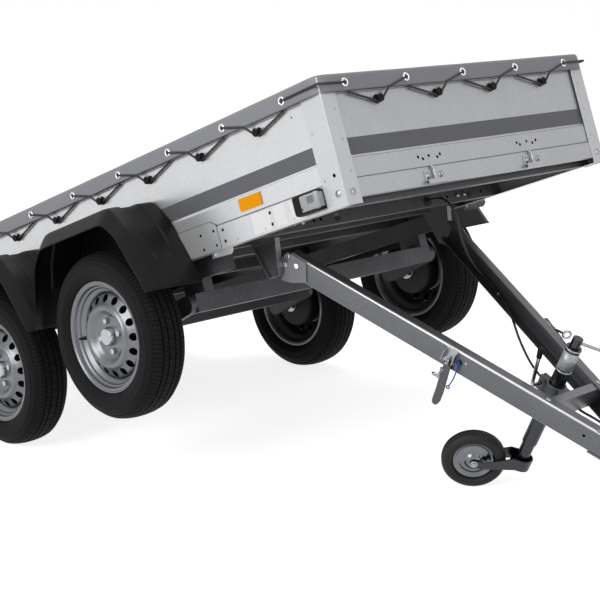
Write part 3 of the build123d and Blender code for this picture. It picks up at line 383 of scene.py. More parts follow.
def soften(obj, width_mm, segments, angle):
    """Rounds the edges of an object that are sharper than an angle."""
    bevel = obj.modifiers.new("edge", "BEVEL")
    bevel.width = width_mm / 1000
    bevel.segments = segments
    bevel.limit_method = "ANGLE"
    bevel.angle_limit = angle


def dress(node, bevel_mm):
    """A merged and bevelled copy of a CAD node that shows in its place."""
    mesh = frame["nodes"][node].data.copy()
    mesh.name = f"{node}_dressed"
    shape = bmesh.new()
    shape.from_mesh(mesh)
    bmesh.ops.remove_doubles(shape, verts=shape.verts, dist=1e-5)
    bmesh.ops.dissolve_limit(shape, angle_limit=radians(1), verts=shape.verts, edges=shape.edges)
    for face in shape.faces:
        face.smooth = True
    for edge in shape.edges:
        edge.smooth = not edge.is_manifold or edge.calc_face_angle() < SHARP_ANGLE
    shape.to_mesh(mesh)
    shape.free()
    obj = bpy.data.objects.new(f"{node}_dressed", mesh)
    soften(obj, bevel_mm, 2, SHARP_ANGLE)
    settle(obj, BODY_OF[node])
    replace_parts(obj, node)
    return obj


BEVELS = {
    1.2: ["cross_beam", "nose_plates", "hinge_plates"],
    0.6: ["side_wall_left", "side_wall_right", "front_wall", "tailgate_panel"],
    2.0: ["coupling", "coupling_handle", "jockey_clamp", "hinge_brackets", "position_lamps"],
    3.0: ["corner_posts"],
}
for bevel_mm, nodes in BEVELS.items():
    for node in nodes:
        dress(node, bevel_mm)
for end in ("front", "rear"):
    for side_name in ("left", "right"):
        dress(f"hub_{end}_{side_name}", 0.8).data.materials[0] = hub_zinc

# %% [markdown]
# ## Cover
# The cover is one sheet cut with a skirt on each side and laced down. It lies taut over the walls, dips
# a little in the middle, and its hem is drawn in at each eyelet. A grid whose outer rows fold down
# over the edge gives all of that with simple formulas, and the four corner squares are left out.

# %% Cover sizes and pulls
HOOK_PITCH = 276
side_hooks = [BED_FRONT - 284 - i * HOOK_PITCH for i in range(9)]
side_eyelets = [BED_FRONT - 146 - i * HOOK_PITCH for i in range(10)]
FRONT_PITCH = 257
front_hooks = [(i - 1.5) * FRONT_PITCH for i in range(4)]
front_eyelets = [(i - 2) * FRONT_PITCH for i in range(5)]
EYELET_HEIGHT = 438
SKIRT_DROP = 53
# Each row of the skirt: how far in from the cover's edge, and how far up from its top
SKIRT_ROWS = [(7, 0), (2, -3), (0, -9), (0, -20), (0, -32), (0, -44), (0, -SKIRT_DROP)]
COVER_THICKNESS = 0.0012
GRID_PITCH = 40
DIP = 9
TENSION = 1.6
FOLD_REACH = 60  # how far the tension folds run in from an edge
EYELET_REACH = 70  # how far along the hem an eyelet draws it in
HEM_PULL = 2.2
HEM_SLACK = 0.4
FLUTTER = 1.1
HEM_WAVE = 2.0
COVER_MIDDLE = (COVER_FRONT + COVER_REAR) / 2
COVER_HALF_LENGTH = (COVER_FRONT - COVER_REAR) / 2


def spread(start, end, pitch):
    """Even positions from start to end, about a pitch apart."""
    count = round(abs(end - start) / pitch)
    return [start + (end - start) * i / count for i in range(count + 1)]


def nearest(value, stops):
    """Distance to the nearest stop."""
    return min(abs(value - stop) for stop in stops)


def hem_pull(where, stops, depth):
    """How far the hem is drawn in, in millimetres, at a place along it and a depth below the top."""
    near = max(0.0, 1 - nearest(where, stops) / EYELET_REACH)
    flutter = FLUTTER * noise.noise((where / 60, depth / 40, 3.0))
    return depth / SKIRT_DROP * (HEM_PULL * near * near - HEM_SLACK) + flutter * depth / SKIRT_DROP


def hem_wave(where, seed, depth):
    """How far the hem's line rises, in millimetres, at a place along it and a depth below the top."""
    return HEM_WAVE * noise.noise((where / 120, seed, 0.0)) * depth / SKIRT_DROP


def edge_pull(distance):
    """Strength of the tension folds that run in from the eyelets, at a distance from the edge."""
    near = distance / FOLD_REACH
    return near * exp(1 - near)


print("eyelets on a side:", len(side_eyelets), "at the front:", len(front_eyelets))

# %% Cover grid
top_inset = SKIRT_ROWS[0][0]
xs = spread(COVER_REAR + top_inset, COVER_FRONT - top_inset, GRID_PITCH)
ys = spread(-COVER_HALF + top_inset, COVER_HALF - top_inset, GRID_PITCH)
points = []
index = {}


def sheet_point(i, j):
    """Point of the cover in grid terms: inside the grid on top, beyond it down a skirt."""
    row_x = max(0, -i, i - (len(xs) - 1))
    row_y = max(0, -j, j - (len(ys) - 1))
    x = xs[min(max(i, 0), len(xs) - 1)]
    y = ys[min(max(j, 0), len(ys) - 1)]
    inset, drop = SKIRT_ROWS[max(row_x, row_y)]
    middle = (1 - (y / COVER_HALF) ** 2) * (1 - ((x - COVER_MIDDLE) / COVER_HALF_LENGTH) ** 8)
    z = COVER_TOP + drop
    if row_x == row_y == 0:
        z += -DIP * middle + 3.0 * noise.noise((x / 210, y / 130, 0.0)) * middle
        z -= TENSION * edge_pull(COVER_HALF - abs(y)) * cos(tau * (x - side_eyelets[0]) / HOOK_PITCH)
        z -= TENSION * edge_pull(COVER_FRONT - x) * cos(tau * y / FRONT_PITCH)
    if row_y:
        pull = hem_pull(x, side_eyelets, -drop)
        y = (COVER_HALF - inset - pull) * (1 if y > 0 else -1)
        z += hem_wave(x, 7.0, -drop)
    if row_x:
        pull = hem_pull(y, front_eyelets, -drop)
        x = COVER_FRONT - inset - pull if x > 0 else COVER_REAR + inset + pull
        z += hem_wave(y, 9.0, -drop)
    return (x, y, z)


last_row = len(SKIRT_ROWS) - 1
for i in range(-last_row, len(xs) + last_row):
    for j in range(-last_row, len(ys) + last_row):
        if 0 <= i < len(xs) or 0 <= j < len(ys):
            index[i, j] = len(points)
            points.append(sheet_point(i, j))
faces = []
for i, j in index:
    ring = [(i, j), (i + 1, j), (i + 1, j + 1), (i, j + 1)]
    if all(corner in index for corner in ring):
        faces.append([index[corner] for corner in ring])
print("cover grid:", len(points), "points,", len(faces), "faces")

# %% Cover with its corners closed
cover_mesh = bpy.data.meshes.new("laced_cover")
cover_mesh.from_pydata([bed @ Vector(p) for p in points], [], faces)
shape = bmesh.new()
shape.from_mesh(cover_mesh)
for i_end, j_end in ((-1, -1), (-1, 1), (1, -1), (1, 1)):
    i_at = 0 if i_end < 0 else len(xs) - 1
    j_at = 0 if j_end < 0 else len(ys) - 1
    shape.verts.ensure_lookup_table()
    pairs = {
        shape.verts[index[i_at + i_end * row, j_at]]: shape.verts[index[i_at, j_at + j_end * row]]
        for row in range(1, last_row + 1)
    }
    for edge_vert, twin in pairs.items():
        shared = (edge_vert.co + twin.co) / 2
        edge_vert.co = shared
        twin.co = shared
bmesh.ops.remove_doubles(shape, verts=shape.verts, dist=1e-5)
bmesh.ops.recalc_face_normals(shape, faces=shape.faces)
for face in shape.faces:
    face.smooth = True
cover_area = sum(face.calc_area() for face in shape.faces)
shape.to_mesh(cover_mesh)
shape.free()
cover_mesh.materials.append(tarpaulin)
laced_cover = bpy.data.objects.new("laced_cover", cover_mesh)
rounding = laced_cover.modifiers.new("rounding", "SUBSURF")
rounding.levels = 1
rounding.render_levels = 1
thickness = laced_cover.modifiers.new("thickness", "SOLIDIFY")
thickness.thickness = COVER_THICKNESS
thickness.offset = -1
settle(laced_cover, "bed")
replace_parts(laced_cover, "cover", "cover_flap")

# %% [markdown]
# ## Geometry Nodes tools
# Two small trees do most of the repeats. The first puts one shape on every point of a list, turned to
# the way each point aims. The second sweeps a round section along a path with rounded bends. Each ends
# in Realize Instances and Set Material, and is turned into a plain mesh before it rides a body.

# %% Tree that sets a shape on points


def new_tree(name, sockets):
    """A geometry tree with named inputs, its group input and output, and input identifiers."""
    tree = bpy.data.node_groups.new(name, "GeometryNodeTree")
    tree.interface.new_socket("Geometry", in_out="OUTPUT", socket_type="NodeSocketGeometry")
    tree.interface.new_socket("Geometry", in_out="INPUT", socket_type="NodeSocketGeometry")
    keys = {}
    for socket_name, socket_type in sockets.items():
        socket = tree.interface.new_socket(socket_name, in_out="INPUT", socket_type=socket_type)
        keys[socket_name] = socket.identifier
    return tree, add_node(tree, "NodeGroupInput").outputs, add_node(tree, "NodeGroupOutput"), keys


def close_tree(tree, geometry, given, result):
    """Ends a tree: gives the shape its material and links it to the output."""
    ends = {"Geometry": geometry.outputs[0], "Material": given["Finish"]}
    finished = add_node(tree, "GeometryNodeSetMaterial", ends)
    tree.links.new(finished.outputs[0], result.inputs[0])
    print("tree:", tree.name)


stud_tree, given, result, stud_keys = new_tree(
    "shape on points", {"Shape": "NodeSocketObject", "Finish": "NodeSocketMaterial"}
)
shape_info = add_node(stud_tree, "GeometryNodeObjectInfo", {"Object": given["Shape"]})
aim = add_node(stud_tree, "GeometryNodeInputNamedAttribute", {"Name": "aim"}, data_type="FLOAT_VECTOR")
aim_way = {"Vector": aim.outputs["Attribute"]}
aim_turn = add_node(stud_tree, "FunctionNodeAlignRotationToVector", aim_way, axis="Z")
size = add_node(stud_tree, "GeometryNodeInputNamedAttribute", {"Name": "size"}, data_type="FLOAT")
stud_inputs = {
    "Points": given["Geometry"],
    "Instance": shape_info.outputs["Geometry"],
    "Rotation": aim_turn.outputs["Rotation"],
    "Scale": size.outputs["Attribute"],
}
studs = add_node(stud_tree, "GeometryNodeInstanceOnPoints", stud_inputs)
real_studs = add_node(stud_tree, "GeometryNodeRealizeInstances", {"Geometry": studs.outputs[0]})
close_tree(stud_tree, real_studs, given, result)

# %% Tree that sweeps a round section
sizes = {"Radius": "NodeSocketFloat", "Bend": "NodeSocketFloat", "Sides": "NodeSocketInt"}
cord_tree, given, result, cord_keys = new_tree(
    "round section on a path", {**sizes, "Finish": "NodeSocketMaterial"}
)
path = add_node(cord_tree, "GeometryNodeMeshToCurve", {"Mesh": given["Geometry"]})
corners = {"Curve": path.outputs[0], "Radius": given["Bend"], "Limit Radius": True}
bends = add_node(cord_tree, "GeometryNodeFilletCurve", corners)
bends.mode = "POLY"
bends.inputs["Count"].default_value = 5
circle = {"Resolution": given["Sides"], "Radius": given["Radius"]}
section = add_node(cord_tree, "GeometryNodeCurvePrimitiveCircle", circle)
tube = {"Curve": bends.outputs[0], "Profile Curve": section.outputs[0], "Fill Caps": True}
swept = add_node(cord_tree, "GeometryNodeCurveToMesh", tube)
real_cord = add_node(cord_tree, "GeometryNodeRealizeInstances", {"Geometry": swept.outputs[0]})
close_tree(cord_tree, real_cord, given, result)

# %% Functions that run the trees


def evaluated(obj):
    """The plain mesh that an object's modifiers or spline give; the object is then removed."""
    bpy.context.collection.objects.link(obj)
    graph = bpy.context.evaluated_depsgraph_get()
    mesh = bpy.data.meshes.new_from_object(obj.evaluated_get(graph))
    bpy.data.objects.remove(obj)
    return mesh


def run_tree(name, mesh, tree, keys, values):
    """Runs a tree on a mesh and gives the result as a plain object at the origin."""
    source = bpy.data.objects.new(name, mesh)
    modifier = source.modifiers.new(tree.name, "NODES")
    modifier.node_group = tree
    for key, value in values.items():
        modifier[keys[key]] = value
    made = evaluated(source)
    made.name = name
    return bpy.data.objects.new(name, made)


# %% Closed and turned shapes


def outward_mesh(name, points, faces, turned=False):
    """A mesh whose faces point outwards; a turned one first has its poles merged and its ends closed."""
    mesh = bpy.data.meshes.new(name)
    mesh.from_pydata(points, [], faces)
    shape = bmesh.new()
    shape.from_mesh(mesh)
    if turned:
        bmesh.ops.remove_doubles(shape, verts=shape.verts, dist=1e-4)
        bmesh.ops.holes_fill(shape, edges=shape.edges)
    bmesh.ops.recalc_face_normals(shape, faces=shape.faces)
    shape.to_mesh(mesh)
    shape.free()
    return mesh


def lathe(name, profile, sides):
    """A shape object turned about Z from (radius, height) pairs, kept out of the scene."""
    ways = [(cos(tau * k / sides), sin(tau * k / sides)) for k in range(sides)]
    points = [(radius * x, radius * y, height) for radius, height in profile for x, y in ways]
    faces = []
    for row in range(0, (len(profile) - 1) * sides, sides):
        for k in range(sides):
            beside = (k + 1) % sides
            faces.append((row + k, row + beside, row + sides + beside, row + sides + k))
    mesh = outward_mesh(name, points, faces, turned=True)
    mesh.shade_smooth()
    return bpy.data.objects.new(name, mesh)


# %% Functions that set shapes and cords
ON_BED = ("bed", bed)
ON_DRAWBAR = ("drawbar", drawbar)
ZINC = (bright_zinc, "zinc_bright")
# Holes are drawn in the painted shade colour
HOLE = (hole_shade_dark, "cable_rubber")
CORD = (cord_rubber, "cable_rubber")
PLASTIC = (black_plastic, "black_plastic")


def place_mesh(obj, place):
    """Moves a mesh made in millimetres in a level frame to where it stands."""
    obj.data.transform(place)
    if place.to_3x3().determinant() < 0:
        obj.data.flip_normals()
    obj.data.update()


def set_studs(name, shape_object, spots, finish, slot, body, place):
    """One shape on each spot: (point, way it aims, size)."""
    mesh = bpy.data.meshes.new(f"{name} points")
    mesh.from_pydata([spot[0] for spot in spots], [], [])
    mesh.attributes.new("aim", "FLOAT_VECTOR", "POINT")
    mesh.attributes.new("size", "FLOAT", "POINT")
    mesh.attributes["aim"].data.foreach_set("vector", [c for spot in spots for c in spot[1]])
    mesh.attributes["size"].data.foreach_set("value", [spot[2] for spot in spots])
    obj = run_tree(name, mesh, stud_tree, stud_keys, {"Shape": shape_object, "Finish": finish})
    place_mesh(obj, place)
    print(name, len(spots), "pieces,", len(obj.data.polygons), "faces")
    return settle(obj, body)


def set_cord(name, paths, radius, bend, finish, slot, body, place, sides=8):
    """Round cords along paths of points; one with no body rides none and is linked on its own."""
    points = []
    edges = []
    for path_points in paths:
        start = len(points)
        points += path_points
        edges += [(start + k, start + k + 1) for k in range(len(path_points) - 1)]
    mesh = bpy.data.meshes.new(f"{name} path")
    mesh.from_pydata(points, edges, [])
    values = {"Radius": float(radius), "Bend": float(bend), "Sides": sides, "Finish": finish}
    obj = run_tree(name, mesh, cord_tree, cord_keys, values)
    obj.data.shade_smooth()
    place_mesh(obj, place)
    print(name, len(paths), "paths,", len(obj.data.polygons), "faces")
    if body:
        return settle(obj, body)
    bpy.context.collection.objects.link(obj)
    return obj


def both_sides(points, size=1):
    """Spots that face outwards on both sides, from points on the left side."""
    return [((x, side * y, z), (0, side, 0), size) for x, y, z in points for side in (1, -1)]


# %% [markdown]
# ## Lacing
# A black elastic cord holds the cover. From an eyelet it runs down behind the hem to a hook, passes
# under the hook's neck and comes up outside the hem to the next eyelet. At a corner it stays outside. A
# bevelled curve could draw it too, but the second tree also rounds its bends and closes its ends.

# %% Lacing
LACE_RADIUS = 3.5
KNOB_NECK = 6
LACE_IN = 612
LACE_OUT = COVER_HALF + LACE_RADIUS
HOOK_UNDER = HOOK_HEIGHT - KNOB_NECK - LACE_RADIUS


def lace_row(hooks, eyelets, inner, outer, way):
    """Lacing along a row of hooks, as (along, out, up), from its first eyelet on."""
    route = []
    for hook, near, far in zip(hooks, eyelets, eyelets[1:]):
        route += [
            (near, inner + 2, EYELET_HEIGHT),
            (near + way * 14, inner, SKIRT_BOTTOM - 4),
            (hook - way * 8, inner, HOOK_UNDER + 2),
            (hook, inner, HOOK_UNDER),
            (hook + way * 8, inner, HOOK_UNDER + 2),
            (hook + way * 42, outer - 1, SKIRT_BOTTOM - 1),
            (far - way * 6, outer, EYELET_HEIGHT - 1),
            (far, outer - 1, EYELET_HEIGHT),
        ]
    return route


def side_lace(side):
    """Lacing along one side, from the front eyelet back, in the bed's frame."""
    row = lace_row(side_hooks, side_eyelets, LACE_IN, LACE_OUT, -1)
    return [(along, side * out, up) for along, out, up in row]


def front_lace():
    """Lacing along the front, from right to left."""
    row = lace_row(front_hooks, front_eyelets, BED_FRONT + 3, COVER_FRONT + LACE_RADIUS, 1)
    return [(out, along, up) for along, out, up in row]


def corner_lace(side):
    """Run outside the front corner between the first eyelets of the side and the front."""
    outer = COVER_FRONT + LACE_RADIUS
    edge = side * LACE_OUT
    return [
        (side_eyelets[0], side * (LACE_OUT - 1), EYELET_HEIGHT),
        (side_eyelets[0] + 6, edge, EYELET_HEIGHT),
        (outer, edge, EYELET_HEIGHT + 1),
        (outer, side * (front_eyelets[-1] + 6), EYELET_HEIGHT),
        (outer - 1, side * front_eyelets[-1], EYELET_HEIGHT),
    ]


rear_out = COVER_REAR - LACE_RADIUS
rear_lace = [(side_eyelets[-1], -LACE_OUT, EYELET_HEIGHT), (rear_out, -LACE_OUT, EYELET_HEIGHT)]
rear_lace += [(rear_out, side * front_eyelets[-1], EYELET_HEIGHT + side) for side in (-1, 1)]
rear_lace += [(rear_out, LACE_OUT, EYELET_HEIGHT), (side_eyelets[-1], LACE_OUT, EYELET_HEIGHT)]
laces = [side_lace(1), side_lace(-1), front_lace(), corner_lace(1), corner_lace(-1), rear_lace]
set_cord("elastic_lacing", laces, LACE_RADIUS, 7, *CORD, *ON_BED)

# %% [markdown]
# The hooks are moulded knobs with a neck for the cord, and the eyelets are nickel rings pressed through
# the hem. Both are round, so each is one turned shape that the tree sets at every place.

# %% Knobs and eyelets
knob_side = [(0, 17.4), (3.2, 17.6), (4.4, 19), (6, 20.4), (9, 20.8), (11.6, 19.6), (12.8, 17.4)]
knob_side += [(12.2, 15.4), (8, 14), (6.2, 11.6), (5.8, 4), (9, 2.6), (13.6, 1.8), (14, 0)]
knob = lathe("knob shape", knob_side, 20)
knob_spots = both_sides([(x, WALL_UPPER, HOOK_HEIGHT) for x in side_hooks])
knob_spots += [((FRONT_UPPER, y, HOOK_HEIGHT), (1, 0, 0), 1) for y in front_hooks]
knobs = set_studs("lacing_knobs", knob, knob_spots, *PLASTIC, *ON_BED)
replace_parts(knobs, "cover_hooks")
eyelet = lathe("eyelet shape", [(7.5, -0.5), (7.5, 1.2), (9, 2.2), (11.5, 2.0), (13, 0.4), (13, -0.5)], 20)
eyelet_spots = both_sides([(x, COVER_HALF, EYELET_HEIGHT) for x in side_eyelets])
eyelet_spots += [((COVER_FRONT, y, EYELET_HEIGHT), (1, 0, 0), 1) for y in front_eyelets]
eyelet_spots += [((COVER_REAR, y, EYELET_HEIGHT), (-1, 0, 0), 1) for y in front_eyelets]
set_studs("eyelets", eyelet, eyelet_spots, nickel, "zinc_bright", *ON_BED)
eyelet_hole = lathe("eyelet opening", [(0, 0.3), (7.6, 0.3), (7.6, -0.6)], 16)
set_studs("eyelet_openings", eyelet_hole, eyelet_spots, *CORD, *ON_BED)

# %% [markdown]
# ## Wheels
# A road tyre is a carcass of rubber over cords, with a tread of ribs cut by grooves and fine sipes. The
# tread could be cut out of the carcass, but it repeats: so the carcass is turned from a profile, and
# Geometry Nodes sets one pitch of tread blocks round it as often as it fits.

# %% Tree that repeats a shape round an axle
sockets = {"Shape": "NodeSocketObject", "Count": "NodeSocketInt", "Finish": "NodeSocketMaterial"}
round_tree, given, result, round_keys = new_tree("shape round an axle", sockets)
spots = add_node(round_tree, "GeometryNodePoints", {"Count": given["Count"]})
number = add_node(round_tree, "GeometryNodeInputIndex").outputs[0]
share = add_node(round_tree, "ShaderNodeMath", {0: number, 1: given["Count"]}, operation="DIVIDE").outputs[0]
turn = add_node(round_tree, "ShaderNodeMath", {0: share, 1: tau}, operation="MULTIPLY").outputs[0]
turn_vector = add_node(round_tree, "ShaderNodeCombineXYZ", {"Z": turn}).outputs[0]
shape_info = add_node(round_tree, "GeometryNodeObjectInfo", {"Object": given["Shape"]})
ring_inputs = {
    "Points": spots.outputs[0],
    "Instance": shape_info.outputs["Geometry"],
    "Rotation": turn_vector,
}
ring = add_node(round_tree, "GeometryNodeInstanceOnPoints", ring_inputs)
real_ring = add_node(round_tree, "GeometryNodeRealizeInstances", {"Geometry": ring.outputs[0]})
whole = add_node(round_tree, "GeometryNodeJoinGeometry", {0: real_ring.outputs[0]})
round_tree.links.new(given["Geometry"], whole.inputs[0])
close_tree(round_tree, whole, given, result)

# %% Tyre carcass and one pitch of tread
CROWN = 273.5
CROWN_HALF = 41.5
TREAD_DEPTH = 6
BLOCK_ROOT = 2  # how far a block is sunk in the carcass
SIPE = 1.8
PITCHES = 56
# Each rib: from, to, blocks in one pitch, slant of its sipes in radians for a millimetre across
RIBS = [
    (-61, -48, 2, 0.0004),
    (-48, -35.5, 2, 0.0004),
    (-31, -15, 2, 0.0014),
    (-10.5, 10.5, 1, 0.0018),
    (15, 31, 2, 0.0014),
    (35.5, 48, 2, 0.0004),
    (48, 61, 2, 0.0004),
]
SIDEWALL = [(166, 48), (175, 52), (182.6, 56.4), (184, 60.4), (186, 63), (191, 67.5), (198, 71.8), (206, 75)]
SIDEWALL += [(208, 76.4), (211, 76.6), (213, 76.4), (222, 77.2), (230, 76.4), (231.5, 77.2), (235, 76.3)]
SIDEWALL += [(236.5, 74.8), (245, 71.2), (250, 67.6), (253.5, 63.5), (254.5, 59)]
CROWN_FALL = 4
SHOULDER_FALL = 20
SHOULDER_WIDTH = 27


def crown_radius(height):
    """Outer radius of the tread at a distance from the tyre's middle."""
    side = abs(height)
    if side <= CROWN_HALF:
        return CROWN - CROWN_FALL * (side / CROWN_HALF) ** 2
    return CROWN - CROWN_FALL - SHOULDER_FALL * ((side - CROWN_HALF) / SHOULDER_WIDTH) ** 1.7


def tread_pitch():
    """One pitch of tread blocks, at their radius from Z."""
    points = []
    faces = []
    box_sides = [(4, 5, 6, 7), (3, 2, 1, 0), (0, 1, 5, 4), (1, 2, 6, 5), (2, 3, 7, 6), (3, 0, 4, 7)]
    for low, high, blocks, slant in RIBS:
        step = tau / PITCHES / blocks
        for block in range(blocks):
            start = step * block
            end = start + step - SIPE / CROWN
            first = len(points)
            for depth in (TREAD_DEPTH + BLOCK_ROOT, 0):
                for height, turn in ((low, start), (high, start), (high, end), (low, end)):
                    radius = crown_radius(height) - depth
                    at = turn + slant * height
                    points.append((radius * cos(at), radius * sin(at), height))
            faces += [[first + corner for corner in side] for side in box_sides]
    return bpy.data.objects.new("tread pitch", outward_mesh("tread pitch", points, faces))


floor_heights = [54, 46, 38, 30, 20, 10, 0, -10, -20, -30, -38, -46, -54]
carcass_profile = SIDEWALL + [(crown_radius(h) - TREAD_DEPTH, h) for h in floor_heights]
carcass_profile += [(radius, -height) for radius, height in reversed(SIDEWALL)]
carcass = lathe("tyre carcass", carcass_profile + carcass_profile[:1], 112)
pitch_shape = tread_pitch()
print("tread blocks in a pitch:", len(pitch_shape.data.polygons) // 6)

# %% Tyres on their hubs
HALF_TRACK = 725
WHEEL_DROP = 64
AXLES = {"front": -453, "rear": -1148}
SIDES = {"left": 1, "right": -1}


def wheel_place(end, side):
    """Matrix from a wheel's own frame, about Z with its outer side up, to where it stands."""
    centre = Matrix.Translation((AXLES[end], side * HALF_TRACK, -WHEEL_DROP))
    return bed @ centre @ Matrix.Rotation(-side * pi / 2, 4, "X")


WHEELS = [(end, side_name, side) for end in AXLES for side_name, side in SIDES.items()]
round_values = {"Shape": pitch_shape, "Count": PITCHES, "Finish": tyre_rubber}
for end, side_name, side in WHEELS:
    name = f"treaded_tyre_{end}_{side_name}"
    tyre = run_tree(name, carcass.data.copy(), round_tree, round_keys, round_values)
    place_mesh(tyre, wheel_place(end, side))
    settle(tyre, BODY_OF[f"tyre_{end}_{side_name}"])
    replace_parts(tyre, f"tyre_{end}_{side_name}")
    print(tyre.name, len(tyre.data.polygons), "faces")

# %% [markdown]
# ## Mudguards
# Each mudguard is one vacuum-formed sheet: a flat-topped arch with a lip that turns down on its outer
# side, and a long shallow field pressed into it for stiffness. Solids with bevels would look too sharp,
# so the sheet is a grid: rows run along the arch, columns across it, and the field is a smooth step.

# %% Mudguard arch
ARCH_OUTER = [(345, 90), (262, 297), (195, 384), (-195, 384), (-262, 297), (-345, 90)]
ARCH_MOUTH = [(324, 90), (238, 283), (183, 335), (-183, 335), (-238, 283), (-324, 90)]
ARCH_STEPS = [14, 8, 24, 8, 14]
FIELD = (664, 738)
FIELD_DEPTH = 5
FIELD_END = 118
FIELD_SLOPE = 5
FIELD_END_SLOPE = 0.6
TOP_COLUMNS = [612, 628, 644, 656, 661, 664, 667, 670, 674, 690, 712, 728, 732, 735, 738, 741, 746, 762, 774]
# Each column: its place across, and how far it has gone from the arch's top line to its mouth
ACROSS = [(y, 0) for y in TOP_COLUMNS] + [(780, 0.01), (784, 0.045), (788, 0.12), (796, 0.29)]
ACROSS += [(808, 0.58), (818, 0.82), (823, 0.93), (825, 1.0)]


def along_arch(corners):
    """Points along an arch, with its corners eased."""
    line = []
    for (x0, z0), (x1, z1), steps in zip(corners, corners[1:], ARCH_STEPS):
        line += [(x0 + (x1 - x0) * k / steps, z0 + (z1 - z0) * k / steps) for k in range(steps)]
    line.append(corners[-1])
    for _ in range(3):
        middles = [
            tuple((a + 2 * b + c) / 4 for a, b, c in zip(before, here, after))
            for before, here, after in zip(line, line[1:], line[2:])
        ]
        line = [line[0], *middles, line[-1]]
    return line


def eased(value):
    """Smooth step from 0 to 1."""
    value = min(max(value, 0.0), 1.0)
    return value * value * (3 - 2 * value)


print("points along the arch:", len(along_arch(ARCH_OUTER)))

# %% Mudguard sheet


def guard_sheet(name, side):
    """One mudguard about its wheel's centre, with its outer side towards side."""
    outer = along_arch(ARCH_OUTER)
    mouth = along_arch(ARCH_MOUTH)
    run = [0.0]
    for (x0, z0), (x1, z1) in zip(outer, outer[1:]):
        run.append(run[-1] + ((x1 - x0) ** 2 + (z1 - z0) ** 2) ** 0.5)
    points = []
    for k, ((x, z), (mx, mz)) in enumerate(zip(outer, mouth)):
        before = outer[max(k - 1, 0)]
        after = outer[min(k + 1, len(outer) - 1)]
        slope = Vector((after[0] - before[0], 0, after[1] - before[1])).normalized()
        inward = Vector((slope.z, 0, -slope.x)) * -1
        from_end = min(run[k], run[-1] - run[k])
        for y, blend in ACROSS:
            inside = min(y - FIELD[0], FIELD[1] - y, (from_end - FIELD_END) * FIELD_END_SLOPE)
            press = FIELD_DEPTH * eased(inside / FIELD_SLOPE + 0.5)
            spot = Vector((x + (mx - x) * blend, side * y, z + (mz - z) * blend))
            points.append(spot + inward * press)
    width = len(ACROSS)
    faces = []
    for row in range(len(outer) - 1):
        for column in range(width - 1):
            at = row * width + column
            faces.append((at, at + 1, at + width + 1, at + width))
    faces.append(tuple(row * width for row in range(len(outer))))
    if side < 0:
        faces = [tuple(reversed(face)) for face in faces]
    mesh = bpy.data.meshes.new(name)
    mesh.from_pydata(points, [], faces)
    return mesh


print("columns across a mudguard:", len(ACROSS))

# %% Mudguards on the bed
GUARD_WALL = 0.0035
GUARD_EDGE = 1.2
for end, side_name, side in WHEELS:
    node = f"mudguard_{end}_{side_name}"
    mesh = guard_sheet(f"{node}_sheet", side)
    mesh.transform(bed @ Matrix.Translation((AXLES[end], 0, -WHEEL_DROP)))
    mesh.shade_smooth()
    mesh.set_sharp_from_angle(angle=SHARP_ANGLE)
    mesh.materials.append(black_plastic)
    guard = bpy.data.objects.new(f"{node}_sheet", mesh)
    wall = guard.modifiers.new("wall", "SOLIDIFY")
    wall.thickness = GUARD_WALL
    wall.offset = -1
    soften(guard, GUARD_EDGE, 2, radians(60))
    settle(guard, "bed")
    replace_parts(guard, node)
    print(guard.name, len(mesh.polygons), "faces")

# %% [markdown]
# ## Light cable
# The seven-core cable leaves a grommet in a cross member, loops over the hinge so that the bed can tip,
# lies in the left leg's channel, is held by a clip, sags below the leg and ends in its plug. Its line is
# one NURBS spline along the CAD route. The loop bends with the hinge, so the tube rides no body.

# %% Cable
CABLE_ROUTE = [(19.09, 217, 188.8), (51.09, 217, 220.8), (99, 221, 221), (135, 231, 193), (152, 246, 148)]
CABLE_ROUTE += [(170, 268, 105), (195, 292, 66), (235, 307, 38), (295, 303, 28), (370, 280, 28)]
CABLE_ROUTE += [(440, 246, 31), (505, 203, 24), (565, 184, -7), (642, 165, -36), (720, 133, -34)]
CABLE_ROUTE += [(785, 104, -16), (847, 84, -2), (910, 66, 2), (985, 46, 28), (1060, 31, 42), (1120, 31, 42)]
CABLE_RADIUS = 0.004


def spline_points(name, route):
    """Points read from a NURBS spline along a route."""
    curve = bpy.data.curves.new(name, "CURVE")
    curve.dimensions = "3D"
    spline = curve.splines.new("NURBS")
    spline.points.add(len(route) - 1)
    for point, spot in zip(spline.points, route):
        point.co = (*spot, 1)
    spline.order_u = 3
    spline.use_endpoint_u = True
    spline.resolution_u = 8
    mesh = evaluated(bpy.data.objects.new(name, curve))
    return [vertex.co.copy() for vertex in mesh.vertices]


cable_line = spline_points("cable line", [drawbar @ Vector(spot) for spot in CABLE_ROUTE])
light_cable = set_cord("light_cable", [cable_line], CABLE_RADIUS, 0, *CORD, None, Matrix(), sides=12)
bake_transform(light_cable)
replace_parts(light_cable, "cable")

# %% [markdown]
# ## Stripes
# A dark vinyl stripe is stuck to the side walls, the front wall and the tailgate, just above the upper
# bend. It is a film, so it is a thin strip, a third of a millimetre proud of the sheet, with rounded ends.

# %% Vinyl stripes
STRIPE_LOW = 234
STRIPE_HIGH = 284
STRIPE_CORNER = 4
SIDE_RUN = (-1980, 501)  # the side wall between its posts
FILM = 0.3
TAILGATE_FACE = -2095


def slab_mesh(name, points):
    """A closed mesh between two rings of points, which are the two halves of a list."""
    count = len(points) // 2
    faces = [tuple(range(count)), tuple(range(2 * count - 1, count - 1, -1))]
    faces += [(k, (k + 1) % count, (k + 1) % count + count, k + count) for k in range(count)]
    return outward_mesh(name, points, faces)


def set_film(name, corners, lift, finish, slot, body):
    """A thin film over the outline given by its corners, lifted along a vector, on its body."""
    points = [Vector(corner) for corner in corners]
    points += [point + Vector(lift) for point in points]
    mesh = slab_mesh(name, [bed @ point for point in points])
    mesh.materials.append(finish)
    settle(bpy.data.objects.new(name, mesh), body)


